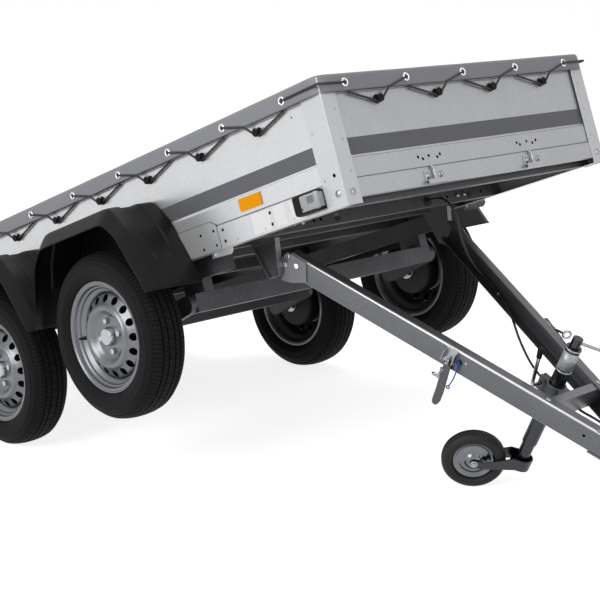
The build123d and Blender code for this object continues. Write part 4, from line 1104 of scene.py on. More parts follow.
def stripe_outline(start, end):
    """Outline of a stripe with rounded corners, as (along, height) pairs."""
    way = 1 if end > start else -1
    outline = []
    inset = STRIPE_CORNER * way
    low = STRIPE_LOW + STRIPE_CORNER
    high = STRIPE_HIGH - STRIPE_CORNER
    first_end = [(end - inset, low, -90), (end - inset, high, 0)]
    other_end = [(start + inset, high, 90), (start + inset, low, 180)]
    for along, height, first in first_end + other_end:
        for step in range(4):
            turn = radians(first + 30 * step)
            outline.append((along + inset * cos(turn), height + STRIPE_CORNER * sin(turn)))
    return outline


print("stripe height:", STRIPE_HIGH - STRIPE_LOW, "side stripe:", SIDE_RUN[1] - SIDE_RUN[0], "long")

# %% Stripes on the walls and the tailgate
VINYL = (stripe_film, "tarpaulin")
for side_name, side in SIDES.items():
    outline = [(along, side * WALL_UPPER, height) for along, height in stripe_outline(*SIDE_RUN)]
    set_film(f"stripe_{side_name}", outline, (0, side * FILM, 0), *VINYL, "bed")
outline = [(FRONT_UPPER, across, height) for across, height in stripe_outline(-550, 550)]
set_film("stripe_front", outline, (FILM, 0, 0), *VINYL, "bed")
outline = [(TAILGATE_FACE, across, height) for across, height in stripe_outline(-590, 590)]
set_film("stripe_rear", outline, (-FILM, 0, 0), *VINYL, BODY_OF["tailgate_panel"])
print("stripes:", len(SIDES) + 2)

# %% [markdown]
# ## Rims
# A steel rim is a rolled barrel welded to a pressed disc. The barrel's edge is rolled into two lips, and
# the disc has a raised crown, a ring of vents and a dished middle. Both are turned from profiles; the vents
# are cut with a Boolean, because their edges have to be real. They look dark from both sides, so a thin
# black ring of painted shade lies halfway through the sheet.

# %% Rim shape
RIM_BARREL = [(182, 57.5), (182.4, 59), (181.4, 60.4), (178.6, 60.4), (177, 58.6), (175, 56.4), (172.6, 56)]
RIM_BARREL += [(170.6, 57), (168.4, 56.6), (166.4, 53), (165.2, 46.4), (163.2, 44.2), (160.2, 43.8)]
RIM_BARREL += [(158.4, 41.4), (157.2, 35.6), (155, 33.4), (149, 30.6), (143, 26), (140.6, 20), (140, 10)]
RIM_BARREL += [(140, -18), (146, -25), (158, -32), (162, -40), (163.4, -52), (167, -57), (172, -59.8)]
RIM_BARREL += [(181, -60), (182, -58), (173, -56.6), (166.6, -52), (165.4, -34), (145, -21), (143.6, 0)]
RIM_BARREL += [(146, 24), (164, 37), (166.8, 50), (172, 54)]
HUB_HOLE = 31
RIM_DISC = [(HUB_HOLE, 34), (50, 34), (62, 34), (68, 35.4), (74, 40), (80, 47), (86, 52.4), (91, 55.4)]
RIM_DISC += [(96, 56), (100, 54.6), (104, 51), (107, 47.4), (110, 44), (118, 38.4), (128, 32.4), (134, 29)]
RIM_DISC += [(137.6, 24), (139.4, 16), (139.6, 4)]
DISC_SHEET = 4
DISC_STEP = 1.2  # how far the back lies inside the front
VENTS = 16
VENT_RADIUS = 12.8
VENT_CIRCLE = 123


def rim_mesh():
    """Barrel and vented disc of one rim as one mesh, in the wheel's frame."""
    back = [(max(radius - DISC_STEP, HUB_HOLE), height - DISC_SHEET) for radius, height in reversed(RIM_DISC)]
    disc = lathe("rim disc", RIM_DISC + back + RIM_DISC[:1], 96)
    cutter_mesh = bpy.data.meshes.new("vent cutters")
    cutters = bmesh.new()
    for k in range(VENTS):
        turn = tau * (k + 0.5) / VENTS
        spot = Matrix.Translation((VENT_CIRCLE * cos(turn), VENT_CIRCLE * sin(turn), 30))
        ends = {"radius1": VENT_RADIUS, "radius2": VENT_RADIUS, "depth": 40}
        bmesh.ops.create_cone(cutters, cap_ends=True, segments=20, matrix=spot, **ends)
    cutters.to_mesh(cutter_mesh)
    cutters.free()
    cutter = bpy.data.objects.new("vent cutters", cutter_mesh)
    bpy.context.collection.objects.link(cutter)
    vents = disc.modifiers.new("vents", "BOOLEAN")
    vents.object = cutter
    vents.operation = "DIFFERENCE"
    vented = evaluated(disc)
    bpy.data.objects.remove(cutter)
    barrel = lathe("rim barrel", RIM_BARREL + RIM_BARREL[:1], 96)
    shape = bmesh.new()
    shape.from_mesh(barrel.data)
    shape.from_mesh(vented)
    mesh = bpy.data.meshes.new("pressed rim")
    shape.to_mesh(mesh)
    shape.free()
    mesh.shade_smooth()
    mesh.set_sharp_from_angle(angle=radians(50))
    mesh.materials.clear()
    mesh.materials.append(silver_lacquer)
    return mesh


print("points round the barrel:", len(RIM_BARREL), "vents:", VENTS)

# %% Rims, drums and valves
rim_shape = rim_mesh()
# The thin black ring behind the vents is painted shade
VENT_SHADE = [(108, 42.6), (111, 39.6), (118, 35), (128, 29.2), (135, 24.6)]
VENT_SHADE += [(134.6, 24), (118, 34), (107.6, 42)]
vent_floor = lathe("vent floor shape", VENT_SHADE + VENT_SHADE[:1], 64)
vent_floor.data.materials.append(hole_shade_dark)
DRUM = [(0, 24), (60, 24), (92, 20), (96, 14), (96, -44), (90, -48), (34, -50), (0, -50)]
drum = lathe("drum shape", DRUM, 64)
drum.data.materials.append(cast_iron)
valve = lathe("valve shape", [(0, 20), (2.8, 20), (3.6, 18), (3.8, 12), (5, 6), (7, 0), (7, -3)], 14)
valve.data.materials.append(black_plastic)
VALVE_PLACE = (-150, 0, 30)
VALVE_LEAN = radians(-28)
VALVE_TURN = radians(-7)
valve.data.transform(Matrix.Translation(VALVE_PLACE) @ Matrix.Rotation(VALVE_LEAN, 4, "Y"))
valve.data.transform(Matrix.Rotation(VALVE_TURN, 4, "Z"))
for end, side_name, side in WHEELS:
    body = BODY_OF[f"rim_{end}_{side_name}"]
    for name, mesh, slot in (
        ("pressed_rim", rim_shape, "silver_rim"),
        ("brake_drum", drum.data, "galvanised_frame"),
        ("vent_floor", vent_floor.data, "cable_rubber"),
        ("tyre_valve", valve.data, "cable_rubber"),
    ):
        piece = bpy.data.objects.new(f"{name}_{end}_{side_name}", mesh.copy())
        place_mesh(piece, wheel_place(end, side))
        settle(piece, body)
        if name == "pressed_rim":
            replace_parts(piece, f"rim_{end}_{side_name}")
print("rim faces:", len(rim_shape.polygons))

# %% [markdown]
# ## Rivets, bolts and holes
# The walls are riveted to the corner posts, and spare holes are punched for other fittings. They repeat,
# so each kind is one small turned shape that the tree sets on a list of points.

# %% Shapes of the fasteners
rivet = lathe("rivet shape", [(0, 1.7), (2.2, 1.5), (3.6, 0.9), (4.4, 0), (4.4, -0.4)], 14)
ROUND_HEAD = [(0, 4.6), (4, 4.2), (7.4, 2.8), (8.6, 1.2), (10.5, 1.2), (10.5, 0)]
round_bolt = lathe("round bolt shape", ROUND_HEAD, 18)
hex_bolt = lathe("hex bolt shape", [(0, 6.2), (6.6, 6.2), (7.6, 5.4), (7.6, 0)], 6)
washer = lathe("washer shape", [(0, 1.4), (10.6, 1.4), (11.2, 0.8), (11.2, -0.2)], 24)
# A punched hole is a thin disc in the painted shade colour
punched = lathe("hole shape", [(0, 0.12), (4.2, 0.12), (5, 0.3), (5.4, -0.2)], 16)
print("fastener shapes:", *[shape.name for shape in (rivet, round_bolt, hex_bolt, washer, punched)], sep="; ")

# %% Fasteners on the posts and walls
BED_MIDDLE = (BED_FRONT + BED_REAR) / 2


def four_corners(spots):
    """Spots on the front left post's two faces, repeated on all four posts: (x, y, z, faces front)."""
    placed = []
    for x, y, z, faces_front in spots:
        for side in (1, -1):
            for end in (1, -1):
                point = (BED_MIDDLE + end * (x - BED_MIDDLE), side * y, z)
                placed.append((point, (end, 0, 0) if faces_front else (0, side, 0), 1))
    return placed


POST_FRONT = 587
side_rivets = [(519, POST_FACE, 318, False), (521, POST_FACE, 182, False)]
front_rivets = [(POST_FRONT, y, z, True) for y, z in ((572, 368), (571, 280), (571, 191))]
wall_rivets = both_sides([(x, WALL_LOW, 112) for x in range(100, 500, 130)], 0.8)
set_studs("post_rivets", rivet, four_corners(side_rivets + front_rivets) + wall_rivets, *ZINC, *ON_BED)
post_bolts = four_corners([(559, POST_FACE, 135, False), (POST_FRONT, 583, 132, True)])
set_studs("post_bolts", round_bolt, post_bolts, *ZINC, *ON_BED)

hole_spots = both_sides([(446, WALL_UPPER, 386)], 0.55)
hole_spots += both_sides([(x, WALL_LOW, z) for x, z in ((40, 153), (40, 118), (264, 152), (264, 118))])
hole_spots += both_sides([(x, POST_FACE, z) for x in (-2, -67) for z in (159, 114)], 0.9)
hole_spots += [(spot[0], spot[1], 1.1) for spot in four_corners([(561, POST_FACE, 187, False)])]
FIVE_HOLES = [(184, 201), (198, 194), (234, 201), (262, 194), (281, 201)]
hole_spots += [((FRONT_BAND, side * y, z), (1, 0, 0), 0.9) for y, z in FIVE_HOLES for side in (1, -1)]
set_studs("punched_holes", punched, hole_spots, *HOLE, *ON_BED)

# %% [markdown]
# The wall's top hem leaves two fine beads just under the cover. They are half-round ridges of a millimetre,
# drawn as thin rods that are sunk to half in the sheet.

# %% Wall beads
beads = []
for height in (409, 415):
    beads += [[(x, side * WALL_UPPER, height) for x in SIDE_RUN] for side in (1, -1)]
    beads.append([(FRONT_UPPER, y, height) for y in (-551, 551)])
# The beads take the front's sheet, painted a shade greyer, on the side walls as well
set_cord("wall_beads", beads, 1.3, 0, front_sheet_shaded, "galvanised_front", *ON_BED)

# %% [markdown]
# Under the stripe the wall is folded again, which leaves a dark seam and a bright bend, whose line on the
# front is a painted highlight in the paler side sheet. A dark line of painted shadow also runs round the
# gusset plate that stiffens the sill by the axles.

# %% Wall seams, a painted shadow and a painted highlight
side_seams_and_shadows = [[(16, side * WALL_LOW, 172), (503, side * WALL_LOW, 171)] for side in (1, -1)]
# The dark line along the gusset plate's edge is a painted shadow
GUSSET_EDGE = [(-1485, 190), (-12, 190), (16, 174.5), (16, 100)]
side_seams_and_shadows += [[(x, side * WALL_LOW, z) for x, z in GUSSET_EDGE] for side in (1, -1)]
front_seam = [(BED_FRONT, y, 170) for y in (-550, 550)]
set_cord("wall_seams", side_seams_and_shadows + [front_seam], 0.9, 0, dark_steel, "galvanised_frame", *ON_BED, sides=6)
# The front bend takes the paler side sheet: a painted highlight along it
front_bend_highlight = [(FRONT_BAND, y, 229) for y in (-550, 550)]
set_cord("wall_bend", [front_bend_highlight], 1.2, 0, side_sheet, "galvanised_front", *ON_BED, sides=6)

# %% [markdown]
# ## Catches
# A pair of catches under the front wall holds the tipped-down bed to the drawbar. Each has a hooked rod
# between two nuts on its plate.

# %% Catch rods and nuts
CATCH_FACE = 587
CATCH_MIDDLE = 234
# The rod as (out of the plate, across, up)
CATCH_ROD = [(8, 10, 124), (8, 2, 121), (8, -6, 126), (7, -7, 140), (6, -5, 160), (3, -11, 170)]
catch_rods = []
catch_nuts = []
for middle in (CATCH_MIDDLE, -CATCH_MIDDLE):
    catch_rods.append([(CATCH_FACE + out, middle + across, up) for out, across, up in CATCH_ROD])
    catch_nuts += [((CATCH_FACE, middle + across, 142), (1, 0, 0), 0.95) for across in (-30, 28)]
set_cord("catch_rods", catch_rods, 4, 8, *ZINC, *ON_BED, sides=10)
set_studs("catch_nuts", hex_bolt, catch_nuts, *ZINC, *ON_BED)
set_studs("catch_washers", washer, catch_nuts, *ZINC, *ON_BED)
frame["nodes"]["catch_hooks"].data.materials[0] = front_sheet_shaded

# %% [markdown]
# ## Lamps and labels
# The front position lamp is a black housing with a clear lens that wraps its outer side. A lens is moulded
# with upright prisms inside, so it carries a row of fine ridges. The labels on the wall are plain paper.

# %% Lens blocks


def rounded_block(name, low, high, radius, place, finish):
    """A block with rounded edges between two corners in a level frame."""
    mesh = bpy.data.meshes.new(name)
    shape = bmesh.new()
    centre = (Vector(low) + Vector(high)) / 2
    size = Vector(high) - Vector(low)
    spot = Matrix.Translation(centre) @ Matrix.Diagonal((*size, 1))
    bmesh.ops.create_cube(shape, size=1, matrix=spot)
    edges = list(shape.edges)
    bmesh.ops.bevel(
        shape, geom=edges, offset=radius, segments=3, profile=0.5, affect="EDGES", clamp_overlap=True
    )
    shape.to_mesh(mesh)
    shape.free()
    mesh.shade_smooth()
    mesh.set_sharp_from_angle(angle=radians(40))
    mesh.materials.append(finish)
    block = bpy.data.objects.new(name, mesh)
    place_mesh(block, place)
    return block


def sided(low, high, side):
    """The two corners of a block on one side of the bed, in order."""
    low_y, high_y = sorted((side * low[1], side * high[1]))
    return (low[0], low_y, low[2]), (high[0], high_y, high[2])


LENS_FACE = 641.5
LAMP_BLOCKS = [
    ("lamp_lens", (428, 612, 113), (503.5, LENS_FACE, 163), 6, clear_lens, "clear_lens"),
    ("lamp_bezel", (399, 610, 107.5), (503, 635, 167.5), 6, *PLASTIC),
    ("lamp_bulb", (462, 640, 134), (488, 643, 154), 1.4, silver_lacquer, "silver_rim"),
]
for side_name, side in SIDES.items():
    for name, low, high, radius, finish, slot in LAMP_BLOCKS:
        block = rounded_block(f"{name}_{side_name}", *sided(low, high, side), radius, bed, finish)
        settle(block, "bed")
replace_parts(bpy.data.objects["lamp_lens_left"], "lamp_lenses")
set_studs("lens_screws", punched, both_sides([(435, LENS_FACE + 0.1, 124)], 0.8), *HOLE, *ON_BED)
ridges = [[(x, side * LENS_FACE, z) for z in (119, 157)] for x in range(436, 500, 8) for side in (1, -1)]
set_cord("lens_prisms", ridges, 1.2, 0, clear_lens, "clear_lens", *ON_BED, sides=6)

# %% Labels
LABELS = [(180, 260, 106, 164), (280, 332, 106, 164), (352, 396, 106, 162)]
LABEL_THICKNESS = 0.25
for number, (start, end, low, high) in enumerate(LABELS):
    corners = [(start, low), (end, low), (end, high), (start, high)]
    outline = [(x, -WALL_LOW, z) for x, z in corners]
    set_film(f"blank_label_{number}", outline, (0, -LABEL_THICKNESS, 0), label_paper, "clear_lens", "bed")
print("labels:", len(LABELS))

# %% [markdown]
# ## Drawbar
# The legs are channels folded from plate, and the light along their rounded bends is what shows the fold;
# a painted highlight, near white on the upper bend and faint on the lower, is laid along them too.
# The CAD section has square corners, so each leg is drawn again as one section with round bends, pushed
# along the leg.

# %% Leg channels
LEG_START = 28
LEG_REAR_HALF = 396
LEG_END = 1235
LEG_END_HALF = 48
LEG_SLOPE = (LEG_REAR_HALF - LEG_END_HALF) / (LEG_END - LEG_START)
LEG_ANGLE = atan2(LEG_REAR_HALF - LEG_END_HALF, LEG_END - LEG_START)
LEG_LENGTH = (LEG_END - LEG_START) / cos(LEG_ANGLE)
LEG_BASE = 13
LEG_HEIGHT = 73
LEG_FLANGE = 38
LEG_SHEET = 4
LEG_BEND = 7
# Strength of the painted highlight on the bends
BEND_HIGHLIGHT = {2: 0.3, 3: 0.9, 4: 0.6, 5: 0.2, 9: 0.2, 10: 0.2}  # by the place of a point in the section


def bend_points(centre, radius, first):
    """A quarter turn about a centre, from an angle in degrees onwards."""
    turns = [radians(first + 18 * k) for k in range(6)]
    return [(centre[0] + radius * cos(turn), centre[1] + radius * sin(turn)) for turn in turns]


def channel_section(inset, radius):
    """Line round a channel's web and flanges, drawn in by an inset, as (inward, up) pairs."""
    top = LEG_HEIGHT - LEG_BEND
    line = [(LEG_FLANGE, LEG_HEIGHT - inset)]
    line += bend_points((LEG_BEND, top), radius, 90)
    line += bend_points((LEG_BEND, LEG_BEND), radius, 180)
    return line + [(LEG_FLANGE, inset)]


def web_place(station, side):
    """Matrix from (along the leg, out of its web, up) at a station to the drawbar's frame."""
    along = Vector((cos(LEG_ANGLE), -side * sin(LEG_ANGLE), 0))
    out = Vector((sin(LEG_ANGLE), side * cos(LEG_ANGLE), 0))
    turn = Matrix((along, out, Vector((0, 0, 1)))).transposed().to_4x4()
    half = LEG_REAR_HALF - LEG_SLOPE * (station - LEG_START)
    return Matrix.Translation((station, side * half, 0)) @ turn


def prism(name, section, length, place, finish):
    """A section of (out, up) pairs pushed along X, moved by a matrix, with its faces outwards."""
    points = [(along, out, up) for along in (0, length) for out, up in section]
    mesh = slab_mesh(name, [place @ Vector(point) for point in points])
    mesh.shade_smooth()
    mesh.set_sharp_from_angle(angle=radians(35))
    mesh.materials.append(finish)
    return bpy.data.objects.new(name, mesh)


print("a leg turns in by", round(LEG_ANGLE * 180 / pi, 1), "degrees")

# %% Legs on the drawbar
leg_section = channel_section(0, LEG_BEND)
leg_section += reversed(channel_section(LEG_SHEET, LEG_BEND - LEG_SHEET))
leg_section = [(-inward, LEG_BASE + up) for inward, up in leg_section]
for side_name, side in SIDES.items():
    place = drawbar @ web_place(LEG_START, side)
    leg = prism(f"leg_channel_{side_name}", leg_section, LEG_LENGTH, place, leg_steel)
    # Points on the bends carry the painted highlight's strength
    painted_bend_highlight = [BEND_HIGHLIGHT.get(k % len(leg_section), 0.0) for k in range(2 * len(leg_section))]
    leg.data.attributes.new("bend", "FLOAT", "POINT")
    leg.data.attributes["bend"].data.foreach_set("value", painted_bend_highlight)
    settle(leg, "drawbar")
    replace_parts(leg, f"leg_{side_name}")
print("leg length", round(LEG_LENGTH))

# %% [markdown]
# ## Latches
# When the bed is down, an over-centre latch on each leg pulls it tight. Open, as here, the right one's forged
# lever and eye bolt hang from the bracket, and the left one's are thrown forward along the leg. A blue
# lanyard on the right one keeps its locking pin.

# %% Latch pieces
LATCH_STATION = 602
LEVER_SIDE = [(-5, 34), (6, 38), (17, 32), (22, -14), (27, -58), (28, -92), (23, -107), (14, -110)]
LEVER_SIDE += [(6, -106), (3, -94), (1, -56), (-4, -8)]
LEVER_OUT = 8
LEVER_THICKNESS = 12
LEVER_TURN = {-1: Matrix(), 1: Matrix.Translation((4, 0, 58)) @ Matrix.Rotation(radians(-78), 4, "Y")}
# By side: the middle of the eye's ring, and the line of its shank
EYE_BOLTS = {
    -1: ((-14, 15, -18), [(-7, 15, -8), (-1, 15, 18), (3, 15, 52)]),
    1: ((88, 14, 96), [(76, 14, 91), (44, 15, 80), (8, 15, 66)]),
}


def flat_plate(name, outline, start, thickness, place, finish):
    """A plate whose outline is (along, up), from a distance out of a web on."""
    swap = Matrix(((0, 1, 0, 0), (1, 0, 0, start), (0, 0, 1, 0), (0, 0, 0, 1)))
    return prism(name, outline, thickness, place @ swap, finish)


def joined(name, parts, body):
    """Several loose pieces of one body as a single piece."""
    shape = bmesh.new()
    for part in parts:
        shape.from_mesh(part.data)
    mesh = bpy.data.meshes.new(name)
    shape.to_mesh(mesh)
    shape.free()
    mesh.materials.append(parts[0].data.materials[0])
    for part in parts:
        bpy.data.objects.remove(part)
    return settle(bpy.data.objects.new(name, mesh), body)


def ring_path(centre, radius, first, second, steps=18):
    """Points round a ring about a centre, in the plane of two unit vectors."""
    turns = [tau * k / steps for k in range(steps)] + [0.0]
    return [Vector(centre) + radius * (cos(t) * Vector(first) + sin(t) * Vector(second)) for t in turns]


print("points round a lever:", len(LEVER_SIDE))

# %% Latches on the legs
BRACKET = [((-20, 0, 34), (20, 4, 84)), ((-20, 2, 42), (-16, 26, 76)), ((16, 2, 42), (20, 26, 76))]
brackets = []
levers = []
eye_rings = []
eye_shanks = []
for side in SIDES.values():
    place = web_place(LATCH_STATION, side)
    for low, high in BRACKET:
        brackets.append(rounded_block("bracket part", low, high, 1.6, drawbar @ place, bright_zinc))
    lever_place = drawbar @ place @ LEVER_TURN[side]
    levers.append(flat_plate("lever part", LEVER_SIDE, LEVER_OUT, LEVER_THICKNESS, lever_place, dark_steel))
    ring_middle, shank = EYE_BOLTS[side]
    ring = ring_path(ring_middle, 13, (1, 0, 0), (0, 0.75, 0.66))
    eye_rings.append([place @ point for point in ring])
    eye_shanks.append([place @ Vector(point) for point in shank])
folded = joined("latch_brackets_folded", brackets, "drawbar")
forged = joined("latch_levers_forged", levers, "drawbar")
soften(forged, 2.5, 3, radians(50))
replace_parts(forged, "latch_levers")
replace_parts(folded, "latch_brackets")
set_cord("latch_eyes", eye_rings, 3.6, 0, *ZINC, *ON_DRAWBAR, sides=10)
set_cord("latch_shanks", eye_shanks, 4.2, 0, *ZINC, *ON_DRAWBAR, sides=10)
latch_place = web_place(LATCH_STATION, -1)
nut_spots = [(latch_place @ Vector(spot), (0, 0, 1), 1.05) for spot in ((1, 15, 34), (-4, 15, 8))]
set_studs("latch_nuts", hex_bolt, nut_spots, *ZINC, *ON_DRAWBAR)

# %% Lanyard
LANYARD = [(30, 3, 58), (32, 8, 52), (36, 10, 40), (38, 11, 20), (38, 10, -2), (35, 9, -20), (32, 8, -33)]
LANYARD_RADIUS = 0.0022
lanyard_line = spline_points("lanyard line", [drawbar @ latch_place @ Vector(spot) for spot in LANYARD])
NYLON = (blue_nylon, "tarpaulin")
lanyard = set_cord("lanyard", [lanyard_line], LANYARD_RADIUS, 0, *NYLON, "drawbar", Matrix())
KNOT_PLANE = ((0.8, 0.3, 0.5), (-0.4, 0.2, 0.9))
knot = [ring_path((31 + 3 * k, 8, 52 - 3 * k), 5.5 - k, *KNOT_PLANE, 10) for k in range(3)]
knot.append(ring_path((31.5, 8, -38), 5, (1, 0, 0), (0, 0.2, 0.98), 12))
knot = [[latch_place @ point for point in path] for path in knot]
ring_and_knot = set_cord("lanyard_ring", knot, 2, 0, *NYLON, *ON_DRAWBAR)

# %% [markdown]
# ## Fasteners on the drawbar
# Three flat-headed bolts hold each hinge plate to its leg, low enough to pass inside the bracket when
# the bed is let down. Single holes and rivets mark the webs.

# %% Bolts, holes and the cable clip
HINGE_BOLTS = [(19, 70), (20, 38), (57, 55)]
PLATE_OUT = 5.2
HOLE_STATION = 1040
RIVET_STATION = 652
BEAM_STATION = 906
BEAM_BOLT = Vector((0, -LEG_FLANGE / 2, LEG_BASE + LEG_HEIGHT))
flush_bolt = lathe("flush bolt shape", [(0, 0.8), (5, 0.7), (8, 0.45), (9, 0.1), (9, -0.5)], 18)
hinge_spots = []
beam_spots = []
leg_holes = []
leg_rivets = []
for side in SIDES.values():
    out = tuple(web_place(0, side).to_3x3() @ Vector((0, 1, 0)))
    for station, height in HINGE_BOLTS:
        if station > LEG_START:
            hinge_spots.append((web_place(station, side) @ Vector((0, PLATE_OUT, height)), out, 1))
        else:  # beside the lug, where the plate runs straight
            hinge_spots.append(((station, side * (LEG_REAR_HALF + PLATE_OUT), height), (0, side, 0), 1))
    leg_holes.append((web_place(HOLE_STATION, side) @ Vector((0, 0, 52)), out, 0.9))
    leg_rivets.append((web_place(RIVET_STATION, side) @ Vector((0, 0, 58)), out, 1.1))
    beam_spots.append((web_place(BEAM_STATION, side) @ BEAM_BOLT, (0, 0, 1), 0.75))
set_studs("hinge_plate_bolts", flush_bolt, hinge_spots, nickel, "zinc_bright", *ON_DRAWBAR)
set_studs("beam_bolts", round_bolt, beam_spots, *ZINC, *ON_DRAWBAR)
set_studs("leg_holes", punched, leg_holes, *HOLE, *ON_DRAWBAR)
set_studs("leg_rivets", rivet, leg_rivets, *ZINC, *ON_DRAWBAR)
clip_ring = ring_path((372, 279, 26), 6, (0.29, 0.96, 0), (0, 0, 1), 14)
clip_tab = [(372, 279, 20), (372, 281, 18), (373, 290, 17.5), (374, 298, 17.5)]
set_cord("cable_clip", [clip_ring, clip_tab], 1.8, 0, *ZINC, *ON_DRAWBAR)

# %% [markdown]
# ## Jockey wheel
# The jockey wheel winds up and down in a steel tube. Its solid tyre sits on a pressed disc of two halves
# with rings and a dome, and the clamp is closed by a bent rod with a grip. The tube's label is foil.

# %% Jockey pieces
JOCKEY_STATION = 841
JOCKEY_TURN = radians(45)
JOCKEY_TRAIL = -141
JOCKEY_HEIGHT = -272
FORK_OUT = 34
swivel = Matrix.Translation((JOCKEY_STATION, 0, 0)) @ Matrix.Rotation(JOCKEY_TURN, 4, "Z")
hub_middle = Matrix.Translation((JOCKEY_TRAIL, 0, JOCKEY_HEIGHT))
jockey_hub = drawbar @ swivel @ hub_middle @ Matrix.Rotation(pi / 2, 4, "X")
JOCKEY_FACE = [(8.4, 26), (14, 25.6), (20, 23.5), (25, 19), (28.5, 14.5), (33, 12.4), (38, 13.2), (42, 12.6)]
JOCKEY_FACE += [(45, 9.6), (53, 8.6), (57, 10.4), (60, 13.6), (63.5, 14.6), (65.6, 12.6)]
TYRE_SIDE = [(66, 13), (67, 20), (70, 23.4), (74, 24.6), (78, 24.2), (79, 24.9), (84, 24.9), (90, 22.6)]
TYRE_SIDE += [(95.6, 18), (98.6, 13), (99.6, 8.4), (98.4, 7.6), (98.4, 6.4), (99.9, 5.6)]
JOCKEY_ROUNDS = [
    ("pressed_jockey_disc", JOCKEY_FACE, 64, disc_zinc, "zinc_bright", "jockey_disc"),
    ("solid_jockey_tyre", TYRE_SIDE, 80, solid_rubber, "tyre_rubber", "jockey_tyre"),
]
for name, half, sides, finish, slot, node in JOCKEY_ROUNDS:
    profile = half + [(radius, -height) for radius, height in reversed(half)]
    piece = lathe(name, profile + profile[:1], sides)
    piece.data.materials.append(finish)
    place_mesh(piece, jockey_hub)
    settle(piece, BODY_OF[node])
    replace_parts(piece, node)
    print(name, len(piece.data.polygons), "faces")

fork_bolts = []
for side in (1, -1):
    way = swivel.to_3x3() @ Vector((0, side, 0))
    fork_bolts.append((swivel @ Vector((JOCKEY_TRAIL, side * FORK_OUT, JOCKEY_HEIGHT)), way, 1.1))
for name, shape in (("fork_bolts", hex_bolt), ("fork_washers", washer)):
    set_studs(name, shape, fork_bolts, *ZINC, BODY_OF["jockey_fork"], drawbar)

# %% Clamp rod and grip
CLAMP_HEIGHT = 43
ROD = [(797, -13, CLAMP_HEIGHT), (797, -58, CLAMP_HEIGHT), (779, -58, 143)]
clamp_rod = set_cord("clamp_rod", [ROD], 6, 14, hub_zinc, "zinc_bright", *ON_DRAWBAR, sides=12)
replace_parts(clamp_rod, "clamp_handle")
grip_way = (Vector(ROD[2]) - Vector(ROD[1])).normalized()
grip = lathe("grip shape", [(0, 26), (6, 25.6), (9, 23), (9.6, 18), (9, 8), (8.6, 0), (8, -8), (6, -9)], 18)
set_studs("clamp_grip", grip, [(ROD[2], tuple(grip_way), 1)], *PLASTIC, *ON_DRAWBAR)
clamp_bolts = both_sides([(JOCKEY_STATION + 40, 20, CLAMP_HEIGHT)])
clamp_bolts += [((812, 13, CLAMP_HEIGHT), (0, 1, 0), 1)]
set_studs("clamp_bolts", hex_bolt, clamp_bolts, *ZINC, *ON_DRAWBAR)
bpy.data.objects["jockey_clamp_dressed"].data.materials[0] = dark_steel

# %% Tube label and collars
LABEL_RADIUS = 24.3
LABEL_ENDS = (128, 190)
LABEL_FILM = 0.0003
COLLARS = (119, 197)
label_turns = [radians(-150 + 12 * k) for k in range(16)]
label_points = []
for height in LABEL_ENDS:
    for turn in label_turns:
        spot = (JOCKEY_STATION + LABEL_RADIUS * cos(turn), LABEL_RADIUS * sin(turn), height)
        label_points.append(drawbar @ Vector(spot))
count = len(label_turns)
label_faces = [(k, k + 1, k + 1 + count, k + count) for k in range(count - 1)]
label_mesh = bpy.data.meshes.new("tube_label")
label_mesh.from_pydata(label_points, [], label_faces)
label_mesh.shade_smooth()
label_mesh.materials.append(label_foil)
tube_label = bpy.data.objects.new("tube_label", label_mesh)
film_wall = tube_label.modifiers.new("film", "SOLIDIFY")
film_wall.thickness = LABEL_FILM
settle(tube_label, "drawbar")
collar = lathe("collar shape", [(24, 0), (25.4, 0.6), (25.8, 2.4), (25.4, 4.6), (24, 5.2)], 40)
collar_spots = [((JOCKEY_STATION, 0, height), (0, 0, 1), 1) for height in COLLARS]
set_studs("tube_collars", collar, collar_spots, *ZINC, *ON_DRAWBAR)

# %% [markdown]
# ## Sills and the frame under the bed
# The gusset plate is a flat plate with one cut corner. Bolts hold the hinge brackets to their cross member,
# and nuts show under the sills.

# %% Gusset plates and sill tabs
GUSSET = [(15, 100), (15, 174), (-12, 189), (-1485, 189), (-1485, 100)]
SILL_TAB = [(-45, 80), (-42, 101), (58, 101), (58, 86), (46, 76)]
TAB_FACE = 603
SILL_SHEET = 2


def sill_plates(name, outline, face):
    """A flat plate on each side of the bed, as one piece."""
    sides = [bed @ Matrix.Diagonal((1, side, 1, 1)) for side in (1, -1)]
    plates = [flat_plate("plate part", outline, face, SILL_SHEET, place, side_sheet) for place in sides]
    return joined(name, plates, "bed")


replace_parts(sill_plates("gusset_sheets", GUSSET, WALL_LOW), "gusset_plates")
sill_plates("sill_tabs", SILL_TAB, TAB_FACE)
tab_bolts = both_sides([(-30, TAB_FACE + SILL_SHEET, 88)], 0.8)
set_studs("sill_tab_bolts", hex_bolt, tab_bolts, hub_zinc, "zinc_bright", *ON_BED)

# %% Bolts under the bed
MEMBER_FACE = 135
MEMBER_MIDDLE = 122


def member_spots(places):
    """Spots on the front face of the cross member, at distances to both sides of its middle."""
    return [((MEMBER_FACE, side * y, MEMBER_MIDDLE), (1, 0, 0), 1) for y in places for side in (1, -1)]


under_bolts = member_spots((372, 408))
under_bolts += [((x, side * 590, 98), (0, 0, -1), 1.15) for x in (-20, -700, -1360) for side in (1, -1)]
set_studs("under_bolts", hex_bolt, under_bolts, *ZINC, *ON_BED)
set_studs("under_holes", punched, member_spots((290, 320, 500)), *HOLE, *ON_BED)

# %% [markdown]
# ## Tail lamps and tailgate catches
# A trailer's tail lamp is one black tray with an amber, a red and a clear field, each a moulded lens of its
# own. A toggle catch on each rear post closes over a staple on the tailgate.

# %% Tail lamps
TRAY_FACE = BED_REAR - 24
LENS_BACK = BED_REAR - 20
TAIL_FACE = BED_REAR - 42
